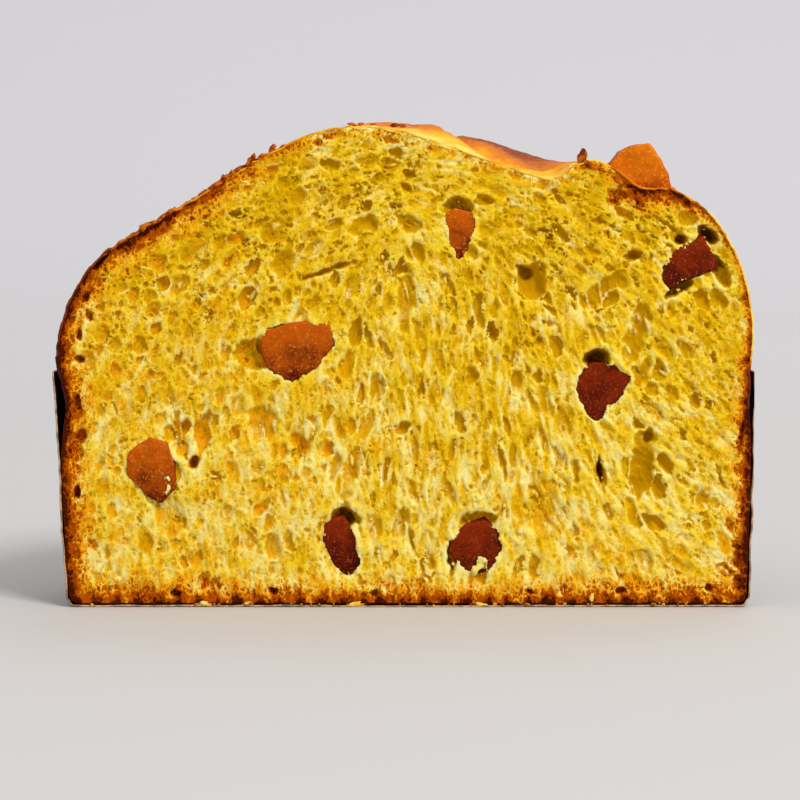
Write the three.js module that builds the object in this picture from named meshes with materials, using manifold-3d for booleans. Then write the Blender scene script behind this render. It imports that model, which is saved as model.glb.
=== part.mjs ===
// Half of a round, low panettone, cut down the middle, still in its paper baking case.
// Units are millimetres and +Z is up. The cut face looks along -Y, with the loaf's round back towards +Y.
// The origin is the centre of the footprint, on the surface that the case stands on.
import * as THREE from "three";
import { mergeVertices } from "three/addons/utils/BufferGeometryUtils.js";
import Module from "manifold-3d";

const wasm = await Module();
wasm.setup();

// Driving sizes of the paper case, which sets the scale of everything else.
const RIM_RADIUS = 91.5;
const BASE_RADIUS = 88.3;
const CASE_HEIGHT = 62;
const PAPER = 0.6;
const CASE_CORNER = 4;
const CLEARANCE = 0.35;
const FLUTES = 23; // shallow creases in the paper's wall, right round
const FLUTE_DEPTH = 0.35;
const BOW = 0.5;

// Sizes of the loaf's surface.
const AROUND = 64; // segments in a full turn
const PROFILE_STEPS = 26;
const SLACK = { left: 1.9, right: 0.7, back: 0.6 }; // how far the loaf has shrunk off the paper's rim
const RELIEF_FROM = CASE_HEIGHT + 12; // the crown's relief starts above this height
const RELIEF_FADE = [62, 80]; // and ends between these distances from the axis
const RELIEF_BEHIND = 16; // and it grows over this distance behind the cut
const SCAR_CENTRE = [3, 33];
const SCAR_HALF_WIDTH = 6.5;
const SCAR_DEPTH = 2.4;
const SCAR_LIP = 1.5;
const LIP_OUT = 2; // how far the lip's ridge stands outside the scar
const LIP_WIDTH = 3.2;
const SWELL = { at: [16, 30], height: 3.4, reach: 34 };
const LUMP = { height: 0.7, along: 9, across: 8 };

// Sizes of the candied fruit and of the pockets that hold it.
const FRUIT_EDGE = 1.6; // bevel round a chunk
const POCKET_GAP = 0.5;
const POCKET_OUT = 6; // an open pocket runs this far out through the cut face

// Sizes of the crumb's bubbles.
const SMALL_BUBBLES = 92;
const SMALL_BUBBLE_LENGTH = [4, 8.5];
const SMALL_BUBBLE_SLIM = [0.42, 0.7];
const SMALL_BUBBLE_DEPTH = [0.6, 0.95];
const SMALL_BUBBLE_TURN = 14; // degrees, either way
const BUBBLE_SINK = 0.1; // how far a bubble's middle lies behind the cut, as a share of its depth
const CRUMB_WIDTH = 84; // bubbles lie within this distance of the axis
const CRUMB_HEIGHTS = [7, 116];
const SEED = 20417;

const COLOURS = {
  crumb: 0xe0b53a,
  case: 0x2c140c,
  amber: 0xa2500c,
  brown: 0x5c260a,
};

const { lerp, degToRad, radToDeg } = THREE.MathUtils;
const clamp01 = (t) => Math.min(1, Math.max(0, t));
const smoothstep = (low, high, t) => {
  const s = clamp01((t - low) / (high - low));
  return s * s * (3 - 2 * s);
};

// A seeded random source, the same on every run.
function randomSource(seed) {
  let state = seed >>> 0;
  return () => {
    state = (Math.imul(state, 1664525) + 1013904223) >>> 0;
    return state / 4294967296;
  };
}

// A closed geometry as a solid that can be joined and cut.
function solidFrom(geometry) {
  const bare = new THREE.BufferGeometry();
  bare.setAttribute("position", geometry.getAttribute("position"));
  if (geometry.index) bare.setIndex(geometry.index);
  const merged = mergeVertices(bare, 1e-4);
  return new wasm.Manifold(
    new wasm.Mesh({
      numProp: 3,
      vertProperties: new Float32Array(merged.getAttribute("position").array),
      triVerts: new Uint32Array(merged.index.array),
    }),
  );
}

// The geometry of a solid.
function geometryFrom(solid) {
  const { numProp, vertProperties, triVerts } = solid.getMesh();
  const positions = new Float32Array((vertProperties.length / numProp) * 3);
  for (let v = 0; v < positions.length / 3; v += 1)
    positions.set(vertProperties.subarray(v * numProp, v * numProp + 3), v * 3);
  const geometry = new THREE.BufferGeometry();
  geometry.setAttribute("position", new THREE.BufferAttribute(positions, 3));
  geometry.setIndex(new THREE.BufferAttribute(new Uint32Array(triVerts), 1));
  return geometry;
}

// Only the largest connected body of a solid, without the scraps that cutting left.
function largestBody(solid) {
  return solid.decompose().reduce((best, next) => (next.volume() > best.volume() ? next : best));
}

// Everything in front of the cut, which the knife took away.
function knifeSide() {
  const reach = 120;
  const top = 160;
  const below = 10;
  const box = new THREE.BoxGeometry(2 * reach, reach, top + below);
  box.translate(0, -reach / 2, (top - below) / 2);
  return solidFrom(box);
}

// A closed body of revolution. place gives each outline point its [radius, height] in its own direction.
function turned(outline, place) {
  const geometry = new THREE.LatheGeometry(outline, AROUND);
  const position = geometry.getAttribute("position");
  for (let v = 0; v < position.count; v += 1) {
    const step = v % outline.length;
    const turn = Math.floor(v / outline.length) % AROUND;
    const angle = (turn / AROUND) * 2 * Math.PI;
    const [radius, height] = place(step, angle);
    position.setXYZ(v, radius * Math.cos(angle), radius * Math.sin(angle), height);
  }
  return solidFrom(geometry);
}

// The loaf's outline in three directions, each as [radius, height], from the paper's rim to the crown.
// The left shoulder slopes, the right one stands full, and both meet at the crown over the axis.
const RIM_TO_CROWN = {
  left: [
    [90.6, 63], [90.7, 68], [88.6, 77.2], [84.9, 84.8], [78.8, 92.5], [66.6, 100.3],
    [54, 107.6], [41.8, 115.4], [27, 122.9], [14.1, 125.8], [0, 124.6],
  ],
  right: [
    [90.4, 62], [91.3, 73], [88.6, 88], [81.2, 101.8], [70.5, 109.4], [61.5, 110.2],
    [51.8, 116.6], [45, 116.4], [37.6, 112.4], [18, 118.4], [0, 124.6],
  ],
  back: [
    [90.6, 62], [91, 70], [89.2, 80], [84.8, 91], [76, 101], [64, 109],
    [50, 115.4], [38, 119], [26, 121.6], [13, 123.6], [0, 124.6],
  ],
};

// The paper wall's outer radius at a height.
const wallRadius = (height) => lerp(BASE_RADIUS, RIM_RADIUS, height / CASE_HEIGHT);

// The part of the outline that the case hides: base, lower corner and side wall.
function hiddenOutline(slack) {
  const floor = PAPER + CLEARANCE;
  const side = (height) => wallRadius(height) - PAPER - CLEARANCE;
  return [
    [0, floor],
    [side(0) / 2, floor],
    [side(0) - CASE_CORNER, floor],
    [side(1.4) - 1.2, floor + 1.2],
    [side(CASE_CORNER), floor + CASE_CORNER],
    [side(20), 20],
    [side(38) - slack, 38],
    [side(54) - slack, 54],
  ];
}

// Left, right and back outlines on the same steps.
const OUTLINES = Object.fromEntries(
  Object.entries(RIM_TO_CROWN).map(([side, points]) => {
    const hidden = hiddenOutline(SLACK[side]).map((point) => new THREE.Vector2(...point));
    const dome = new THREE.SplineCurve(points.map((point) => new THREE.Vector2(...point)));
    return [side, [...hidden, ...dome.getPoints(PROFILE_STEPS)]];
  }),
);

// The outline's point at a step, in the direction of an angle from +X.
function outlinePoint(step, angle) {
  const back = Math.sin(angle) ** 2;
  const front = Math.cos(angle) >= 0 ? "right" : "left";
  return OUTLINES[front][step].clone().lerp(OUTLINES.back[step], back);
}

// The cross that was cut in the dough's top before baking: the far ends of its arms.
const SCAR_ARMS = [
  [37.5, -1],
  [-37, -1],
  [-46, 66],
  [50, 64],
];

function distanceToSegment(x, y, [ax, ay], [bx, by]) {
  const along = clamp01(((x - ax) * (bx - ax) + (y - ay) * (by - ay)) / ((bx - ax) ** 2 + (by - ay) ** 2));
  return Math.hypot(x - ax - along * (bx - ax), y - ay - along * (by - ay));
}

// How much the crown stands above the plain outline at a place: scar, lips and the swell behind the cut.
function crownRelief(x, y) {
  const scar = Math.min(...SCAR_ARMS.map((arm) => distanceToSegment(x, y, SCAR_CENTRE, arm)));
  const groove = -SCAR_DEPTH * (1 - smoothstep(0, SCAR_HALF_WIDTH, scar));
  const lip = SCAR_LIP * Math.exp(-(((scar - SCAR_HALF_WIDTH - LIP_OUT) / LIP_WIDTH) ** 2));
  const fromSwell = Math.hypot(x - SWELL.at[0], y - SWELL.at[1]) / SWELL.reach;
  const swell = SWELL.height * Math.exp(-(fromSwell ** 2));
  const lumps = LUMP.height * Math.sin(x / LUMP.along + 1.3) * Math.sin(y / LUMP.across + 0.4);
  const inner = 1 - smoothstep(...RELIEF_FADE, Math.hypot(x, y));
  return smoothstep(0, RELIEF_BEHIND, y) * inner * (groove + lip + swell + lumps);
}

// The whole round loaf, as it was before the knife.
function wholeLoaf() {
  return turned(OUTLINES.back, (step, angle) => {
    const { x: radius, y: height } = outlinePoint(step, angle);
    const onCrown = height > RELIEF_FROM;
    return [radius, height + (onCrown ? crownRelief(radius * Math.cos(angle), radius * Math.sin(angle)) : 0)];
  });
}

// Candied fruit: centre on the cut face, how far its front lies behind the cut, its depth into the loaf,
// and the chunk's corners round its centre, clockwise from the top left. The knife opened every pocket
// but the crown's, whose fruit sits in the crust behind the cut.
const CANDIED = [
  {
    name: "candied_left_high", colour: "amber", at: [-27.4, 67.3], front: 0.4, depth: 14, open: true,
    corners: [[-8.6, 6.3], [0.3, 7.8], [8.2, 7.2], [9.2, 1.4], [4.8, -4.2], [-2.1, -8.4], [-8.2, -5.2], [-9.9, 1]],
  },
  {
    name: "candied_left_low", colour: "amber", at: [-66.3, 36], front: 0.2, depth: 12, open: true,
    corners: [[-0.4, 8.6], [4.4, 7.2], [6.2, 2.2], [6.6, -4.6], [2.8, -9], [-2, -5.9], [-6.5, -1], [-5.8, 4.8]],
  },
  {
    name: "candied_base_left", colour: "brown", at: [-16.4, 15.9], front: 2.8, depth: 11, open: true,
    corners: [[-4.4, 6.8], [1, 7.9], [4.2, 2.2], [5.4, -4.3], [2.8, -8.6], [-1.2, -6.8], [-4, -0.8], [-5.6, 3.4]],
  },
  {
    name: "candied_base_middle", colour: "brown", at: [19.1, 15.4], front: 1.4, depth: 12, open: true,
    corners: [[-6.4, 2.8], [-3, 6.2], [2.2, 7.6], [5.4, 5.2], [7, 0], [4.7, -5.6], [-0.6, -7.4], [-5, -4.6], [-7.3, -0.6]],
  },
  {
    name: "candied_right_middle", colour: "brown", at: [51.7, 57.2], front: 2.2, depth: 14, open: true,
    corners: [[-7, 4], [-2.4, 7.3], [3.4, 6.5], [8.3, 3.5], [6.4, -1.7], [2.2, -5], [-0.5, -8.8], [-3.8, -7.2], [-6.6, -2.6]],
  },
  {
    name: "candied_right_high", colour: "brown", at: [74.1, 90.3], front: 0.8, depth: 11, open: true,
    corners: [[-7.5, -1.4], [-2, 4], [3.5, 7.4], [6.2, 3.4], [7.8, -1.2], [3, -3.2], [-1.4, -5], [-4.2, -7.4], [-6.5, -5.3]],
  },
  {
    name: "candied_top_middle", colour: "amber", at: [14.6, 98.1], front: 1.2, depth: 8, open: true,
    corners: [[-4.5, 4.6], [-1.2, 6.6], [2.6, 6], [4.6, 3.3], [3.4, -0.6], [2, -5.8], [-0.6, -7], [-3.2, -1.8]],
  },
  {
    name: "candied_crown", colour: "amber", at: [62.6, 113.6], front: 3.2, depth: 15, open: false,
    corners: [[-9.1, 2], [-6, 5.9], [-2.6, 7.2], [1.6, 7.5], [4.5, 3.6], [8.2, -5.2], [5.6, -9], [-1, -9.2], [-6, -4.8]],
  },
];

// A chunk cut to an outline of corners, with rounded edges. grow widens it all round, for its pocket.
function candiedChunk({ at, front, depth, corners }, grow = 0) {
  const outline = corners.map(([x, z]) => new THREE.Vector2(x, z));
  const reach = (point) => (point.length() - FRUIT_EDGE + grow) / point.length();
  const shape = new THREE.Shape(outline.map((point) => point.multiplyScalar(reach(point))));
  const chunk = new THREE.ExtrudeGeometry(shape, {
    depth: depth - 2 * FRUIT_EDGE + 2 * grow,
    bevelEnabled: true,
    bevelThickness: FRUIT_EDGE,
    bevelSize: FRUIT_EDGE,
    bevelSegments: 2,
    curveSegments: 1,
    steps: 1,
  });
  chunk.rotateX(Math.PI / 2);
  chunk.translate(at[0], front + depth - FRUIT_EDGE + grow, at[1]);
  return solidFrom(chunk);
}

function pocket(fruit) {
  const out = fruit.open ? POCKET_OUT : 0;
  return candiedChunk({ ...fruit, front: fruit.front - out, depth: fruit.depth + out }, POCKET_GAP);
}

// Hollows beside the fruit, left where steam or shrinkage opened the crumb: centre, half sizes, lean.
const HOLLOWS = [
  { at: [-39.5, 67], half: [6, 8.5, 4.6], lean: 20 },
  { at: [-58.5, 44], half: [3.4, 5, 6.5], lean: -10 },
  { at: [-15.4, 22], half: [5.2, 6.5, 4], lean: 0 },
  { at: [-16.4, 15.9], half: [6.4, 4, 10], lean: -18 },
  { at: [50.6, 65.6], half: [4.6, 7, 3.6], lean: 0 },
  { at: [80, 97], half: [4.4, 6, 2.6], lean: 30 },
  { at: [82.8, 88], half: [3, 5, 5.4], lean: -25 },
  { at: [14.4, 105], half: [4.6, 5, 3.2], lean: 0 },
  { at: [19.5, 23], half: [6.5, 4.2, 3.2], lean: 0 },
];

// The largest bubbles of the crumb: centre, half width, half length, lean of the long side to the right, depth.
const LARGE_BUBBLES = [
  { at: [62.4, 37], half: [3.2, 9.2], lean: 8, depth: 6 },
  { at: [-37, 48], half: [4.6, 5.6], lean: 10, depth: 5 },
  { at: [-27, 44.5], half: [3.4, 6.4], lean: 12, depth: 3.6 },
  { at: [-62, 24], half: [4.4, 6.2], lean: -20, depth: 4.4 },
  { at: [-52.6, 45], half: [2.6, 6], lean: 8, depth: 5.4 },
  { at: [33.4, 85.6], half: [4.6, 5], lean: 0, depth: 6.4 },
  { at: [53, 83.4], half: [3.4, 8.4], lean: 58, depth: 5 },
  { at: [61, 72], half: [3, 10], lean: 14, depth: 5 },
  { at: [-29, 89.2], half: [2, 10.4], lean: 68, depth: 5 },
  { at: [-10, 100], half: [2.2, 5.4], lean: 62, depth: 3.8 },
  { at: [1, 81], half: [2.8, 8.6], lean: 4, depth: 4.4 },
  { at: [36, 25.6], half: [7, 10], lean: -6, depth: 3.6 },
  { at: [9, 17], half: [5, 8], lean: 6, depth: 3.2 },
  { at: [-55.6, 92.6], half: [3.2, 5.8], lean: 40, depth: 3.6 },
  { at: [-34, 98.4], half: [3.6, 4.6], lean: 50, depth: 3.2 },
  { at: [-13.6, 36], half: [2.6, 7], lean: 12, depth: 4 },
  { at: [42, 49.4], half: [3, 5], lean: 6, depth: 3.4 },
  { at: [52, 35.4], half: [2, 5], lean: -14, depth: 6 },
];

// How far the crumb's bubbles lean from upright: along the crust near it, upright in the middle.
function bubbleLean(x, z) {
  const risen = 96; // height of the dome's middle above its own centre
  const up = Math.max(z - 30, 0);
  const nearCrust = smoothstep(0.42, 0.95, Math.hypot(x / RIM_RADIUS, up / risen));
  const tangent = Math.atan2(up / risen ** 2, Math.abs(x) / RIM_RADIUS ** 2);
  return -Math.sign(x) * nearCrust * radToDeg(tangent);
}

// A stretched ball with a pole at its deepest point, for a bubble or hollow that the knife cut open.
function openedBall(at, half, lean, sides, rings) {
  const ball = new THREE.SphereGeometry(1, sides, rings);
  ball.scale(...half);
  ball.rotateY(degToRad(lean));
  ball.translate(at[0], BUBBLE_SINK * half[1], at[1]);
  return solidFrom(ball);
}

const smallBubble = ({ at, half, lean, depth }) => openedBall(at, [half[0], depth, half[1]], lean, 8, 4);
const largeBubble = ({ at, half, lean, depth }) => openedBall(at, [half[0], depth, half[1]], lean, 12, 6);
const hollow = ({ at, half, lean }) => openedBall(at, half, lean, 12, 6);

// Whether a place on the cut face is crumb, clear of the crust all round.
function insideCrust([x, z]) {
  const dome = { width: 86, from: 52, height: 62 };
  return Math.hypot(x / dome.width, Math.max(z - dome.from, 0) / dome.height) <= 0.93;
}

// The smaller bubbles, drawn by a rule: in line with the crumb, and clear of one another.
function smallBubbles() {
  const random = randomSource(SEED);
  const between = (low, high) => low + random() * (high - low);
  const fruitReach = 11.5;
  const margin = 0.85; // share of a bubble's half length that it keeps free round it
  const mostTries = 6000;
  const taken = [
    ...CANDIED.map(({ at }) => ({ at, reach: fruitReach })),
    ...HOLLOWS.map(({ at, half }) => ({ at, reach: half[0] + 3 })),
    ...LARGE_BUBBLES.map(({ at, half }) => ({ at, reach: half[1] * 0.8 + 1.5 })),
  ];
  const made = [];
  for (let tries = 0; made.length < SMALL_BUBBLES && tries < mostTries; tries += 1) {
    const at = [between(-CRUMB_WIDTH, CRUMB_WIDTH), between(...CRUMB_HEIGHTS)];
    const length = between(...SMALL_BUBBLE_LENGTH) / 2;
    const slim = between(...SMALL_BUBBLE_SLIM);
    const clear = taken.every(
      (other) => Math.hypot(at[0] - other.at[0], at[1] - other.at[1]) > other.reach + length * margin,
    );
    if (!clear || !insideCrust(at)) continue;
    made.push({
      at,
      half: [length * slim, length],
      lean: bubbleLean(...at) + between(-SMALL_BUBBLE_TURN, SMALL_BUBBLE_TURN),
      depth: length * between(...SMALL_BUBBLE_DEPTH),
    });
    taken.push({ at, reach: length * margin });
  }
  return made;
}

// The bread: the whole loaf, its front half cut away, and everything that opens in the cut face taken out.
function bread() {
  const openings = [
    ...CANDIED.map(pocket),
    ...HOLLOWS.map(hollow),
    ...LARGE_BUBBLES.map(largeBubble),
    ...smallBubbles().map(smallBubble),
  ];
  const half = wholeLoaf().subtract(knifeSide());
  return largestBody(half.subtract(openings.reduce((all, next) => all.add(next))));
}

// How far creases and handling push the paper's wall out of its cone. It never goes in.
function paperWave(angle, height) {
  const up = height / CASE_HEIGHT;
  const flutes = FLUTE_DEPTH * Math.sin(angle * FLUTES + 1.1);
  const bow = BOW * Math.sin(angle * 5 + 4 * up) + 0.7 * BOW * Math.sin(9 * up + 2 * angle);
  return Math.max(0, flutes + bow) * smoothstep(0.04, 0.3, up);
}

// The paper case: a thin cup with a rounded corner at the base and a wavy wall, cut with the loaf.
function paperCase() {
  const heights = [CASE_CORNER, 16, 30, 44, 55, CASE_HEIGHT];
  const outside = [
    [0, 0],
    [wallRadius(0) - CASE_CORNER, 0],
    [wallRadius(0) - 1.2, 1.2],
    ...heights.map((height) => [wallRadius(height), height]),
  ];
  const inside = outside
    .map(([radius, height]) => [Math.max(radius - PAPER, 0), Math.max(height, PAPER)])
    .reverse();
  const outline = [...outside, ...inside].map((point) => new THREE.Vector2(...point));
  const cup = turned(outline, (step, angle) => {
    const { x: radius, y: height } = outline[step];
    return [radius + paperWave(angle, height), height];
  });
  return cup.subtract(knifeSide());
}

function namedMesh(name, solid, colour, roughness) {
  const material = new THREE.MeshStandardMaterial({ color: colour, roughness, metalness: 0 });
  const mesh = new THREE.Mesh(geometryFrom(solid), material);
  mesh.name = name;
  return mesh;
}

function panettoneHalf() {
  const group = new THREE.Group();
  group.add(namedMesh("bread", bread(), COLOURS.crumb, 0.9));
  group.add(namedMesh("paper_case", paperCase(), COLOURS.case, 0.75));
  for (const fruit of CANDIED)
    group.add(namedMesh(fruit.name, candiedChunk(fruit), COLOURS[fruit.colour], 0.35));
  const footprint = new THREE.Box3().setFromObject(group);
  group.position.y = -(footprint.min.y + footprint.max.y) / 2;
  return group;
}

export default panettoneHalf();
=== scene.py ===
"""Half of a low round panettone in its dark paper case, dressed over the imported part.

The scene is in metres in the part's own frame: +Z up, the cut face towards -Y and the round back
towards +Y. Shapes are worked out in millimetres, with y as the distance behind the cut, and
Loaf.to_frame turns them into the scene's metres.
"""

import logging
import math
from collections.abc import Iterable, Sequence
from dataclasses import dataclass
from enum import Enum

import bmesh
import bpy
import numpy as np
from mathutils import Matrix, Vector


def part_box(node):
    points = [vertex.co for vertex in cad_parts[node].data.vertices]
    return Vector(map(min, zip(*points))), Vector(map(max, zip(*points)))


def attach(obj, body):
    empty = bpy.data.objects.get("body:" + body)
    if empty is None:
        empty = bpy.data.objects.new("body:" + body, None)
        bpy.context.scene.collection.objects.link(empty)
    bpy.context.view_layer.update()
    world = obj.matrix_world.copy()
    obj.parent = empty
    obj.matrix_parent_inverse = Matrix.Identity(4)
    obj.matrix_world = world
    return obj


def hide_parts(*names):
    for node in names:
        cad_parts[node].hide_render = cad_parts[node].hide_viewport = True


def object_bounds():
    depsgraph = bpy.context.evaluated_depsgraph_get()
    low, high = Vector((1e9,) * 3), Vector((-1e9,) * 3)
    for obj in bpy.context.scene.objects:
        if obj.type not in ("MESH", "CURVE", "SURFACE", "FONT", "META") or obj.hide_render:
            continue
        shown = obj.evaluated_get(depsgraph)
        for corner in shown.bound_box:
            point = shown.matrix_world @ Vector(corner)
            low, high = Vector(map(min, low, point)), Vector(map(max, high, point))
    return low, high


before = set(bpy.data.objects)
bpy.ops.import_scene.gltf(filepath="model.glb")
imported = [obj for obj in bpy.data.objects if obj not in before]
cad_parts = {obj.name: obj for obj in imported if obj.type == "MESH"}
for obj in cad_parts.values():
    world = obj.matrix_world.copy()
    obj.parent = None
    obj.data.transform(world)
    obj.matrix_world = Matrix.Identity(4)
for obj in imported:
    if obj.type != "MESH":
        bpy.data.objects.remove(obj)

LOG = logging.getLogger("panettone")
CAD_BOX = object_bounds()
MM = 0.001
CUT_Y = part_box("bread")[0].y
BODY = "root"
Array = np.ndarray
Colour = tuple[float, float, float, float]


class Side(Enum):
    """The directions in which the loaf's outline is given."""

    LEFT = "left"
    RIGHT = "right"
    BACK = "back"


class Slot(Enum):
    """The material slots."""

    BREAD = "bread"
    PAPER = "case_paper"
    AMBER = "candied_amber"
    BROWN = "candied_brown"


def smoothstep(low: float, high: float, value: Array) -> Array:
    """Eases from 0 at low to 1 at high.

    Args:
        low: Value where the result is 0.
        high: Value where the result is 1.
        value: Numbers to ease.

    Returns:
        The eased numbers.
    """
    share = np.clip((value - low) / (high - low), 0.0, 1.0)
    return share * share * (3.0 - 2.0 * share)


def display(red: int, green: int, blue: int) -> Colour:
    """Turns a colour as a screen shows it into the scene's linear colour.

    Args:
        red: Red, from 0 to 255.
        green: Green, from 0 to 255.
        blue: Blue, from 0 to 255.

    Returns:
        Linear red, green, blue and an alpha of 1.
    """
    shares = [level / 255 for level in (red, green, blue)]
    linear = [c / 12.92 if c <= 10 / 255 else ((c + 0.055) / 1.055) ** 2.4 for c in shares]
    return (*linear, 1.0)


class Grain:
    """Smooth seeded noise in space, for sculpting vertices and tinting them."""

    SIDE = 64

    def __init__(self, seed: int) -> None:
        """Fills the lattice of random numbers that the noise is drawn from.

        Args:
            seed: Seed of the random numbers.
        """
        self.lattice = np.random.default_rng(seed).uniform(-1.0, 1.0, (self.SIDE,) * 3)

    def at(self, points: Array, size: float) -> Array:
        """Samples the noise.

        Args:
            points: Places, one row of x, y and z each.
            size: Distance between two lattice points, in the places' unit.

        Returns:
            One number from -1 to 1 for each place.
        """
        scaled = points / size
        whole = np.floor(scaled).astype(int)
        part = scaled - whole
        ease = part * part * (3.0 - 2.0 * part)
        total = np.zeros(len(points))
        for corner in np.ndindex(2, 2, 2):
            index = (whole + corner) % self.SIDE
            share = np.prod(np.where(corner, ease, 1.0 - ease), axis=1)
            total += share * self.lattice[index[:, 0], index[:, 1], index[:, 2]]
        return total

    def layered(self, points: Array, size: float, layers: int) -> Array:
        """Adds up ever finer and weaker layers of the noise.

        Args:
            points: Places, one row of x, y and z each.
            size: Lattice distance of the coarsest layer.
            layers: How many layers are added, each half as large as the one before.

        Returns:
            One number for each place.
        """
        return sum(self.at(points + 7.3 * size * n, size / 2**n) / 2**n for n in range(layers))


class MeshWork:
    """Steps that several pieces share, from a bmesh to a finished piece of the object."""

    @staticmethod
    def mesh_from(bm: bmesh.types.BMesh, name: str) -> bpy.types.Mesh:
        """Writes a bmesh to a new mesh and frees it.

        Args:
            bm: The bmesh.
            name: Name of the mesh.

        Returns:
            The mesh.
        """
        mesh = bpy.data.meshes.new(name)
        bm.to_mesh(mesh)
        bm.free()
        return mesh

    @staticmethod
    def points_of(mesh: bpy.types.Mesh) -> Array:
        """Reads the mesh's vertices.

        Args:
            mesh: The mesh.

        Returns:
            Rows of x, y and z.
        """
        points = np.empty(len(mesh.vertices) * 3)
        mesh.vertices.foreach_get("co", points)
        return points.reshape(-1, 3)

    @staticmethod
    def move_points(mesh: bpy.types.Mesh, points: Array) -> None:
        """Moves the mesh's vertices to rows of x, y and z."""
        mesh.vertices.foreach_set("co", points.ravel())
        mesh.update()

    @staticmethod
    def normals_of(mesh: bpy.types.Mesh) -> Array:
        """Reads the vertices' normals.

        Args:
            mesh: The mesh.

        Returns:
            Rows of x, y and z.
        """
        normals = np.empty(len(mesh.vertices) * 3)
        mesh.vertices.foreach_get("normal", normals)
        return normals.reshape(-1, 3)

    @staticmethod
    def set_attribute(mesh: bpy.types.Mesh, name: str, values: Array) -> None:
        """Writes one number for each vertex.

        Args:
            mesh: The mesh.
            name: The attribute's name.
            values: One number for each vertex.
        """
        layer = mesh.attributes.new(name, "FLOAT", "POINT")
        layer.data.foreach_set("value", values.astype(np.float32))

    @staticmethod
    def object_from(mesh: bpy.types.Mesh, name: str) -> bpy.types.Object:
        """Links a mesh to the scene as an object at the origin.

        Args:
            mesh: The mesh.
            name: The object's name.

        Returns:
            The object.
        """
        piece = bpy.data.objects.new(name, mesh)
        bpy.context.scene.collection.objects.link(piece)
        return piece

    @staticmethod
    def bake_modifiers(piece: bpy.types.Object) -> None:
        """Applies the piece's modifiers to its mesh.

        Args:
            piece: The piece, which gets a new mesh.
        """
        depsgraph = bpy.context.evaluated_depsgraph_get()
        made = bpy.data.meshes.new_from_object(piece.evaluated_get(depsgraph))
        old = piece.data
        piece.modifiers.clear()
        piece.data = made
        bpy.data.meshes.remove(old)

    @staticmethod
    def shade_smooth(mesh: bpy.types.Mesh) -> None:
        """Makes every face of the mesh shade smoothly."""
        mesh.polygons.foreach_set("use_smooth", [True] * len(mesh.polygons))

    @staticmethod
    def thin_out(piece: bpy.types.Object, most: int) -> None:
        """Merges faces where the shape is plainest until the piece has few enough triangles.

        Args:
            piece: The piece.
            most: Number of triangles that it may keep.
        """
        piece.data.calc_loop_triangles()
        triangles = len(piece.data.loop_triangles)
        if triangles > most:
            decimate = piece.modifiers.new("thin_out", "DECIMATE")
            decimate.ratio = most / triangles
            MeshWork.bake_modifiers(piece)

    @staticmethod
    def dress(piece: bpy.types.Object, material: bpy.types.Material) -> None:
        """Gives a piece its only material.

        Args:
            piece: The piece.
            material: The material.
        """
        piece.data.materials.clear()
        piece.data.materials.append(material)

    @staticmethod
    def finish(piece: bpy.types.Object, slot: Slot, nodes: Iterable[str] = ()) -> None:
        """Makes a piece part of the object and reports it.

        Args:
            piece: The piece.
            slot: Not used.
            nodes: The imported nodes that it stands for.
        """
        low, high = (np.array(corner) for corner in CAD_BOX)
        MeshWork.move_points(piece.data, np.clip(MeshWork.points_of(piece.data), low, high))
        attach(piece, BODY)
        if nodes:
            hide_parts(*nodes)
        piece.data.calc_loop_triangles()
        LOG.info("%s: %d triangles", piece.name, len(piece.data.loop_triangles))


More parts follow.
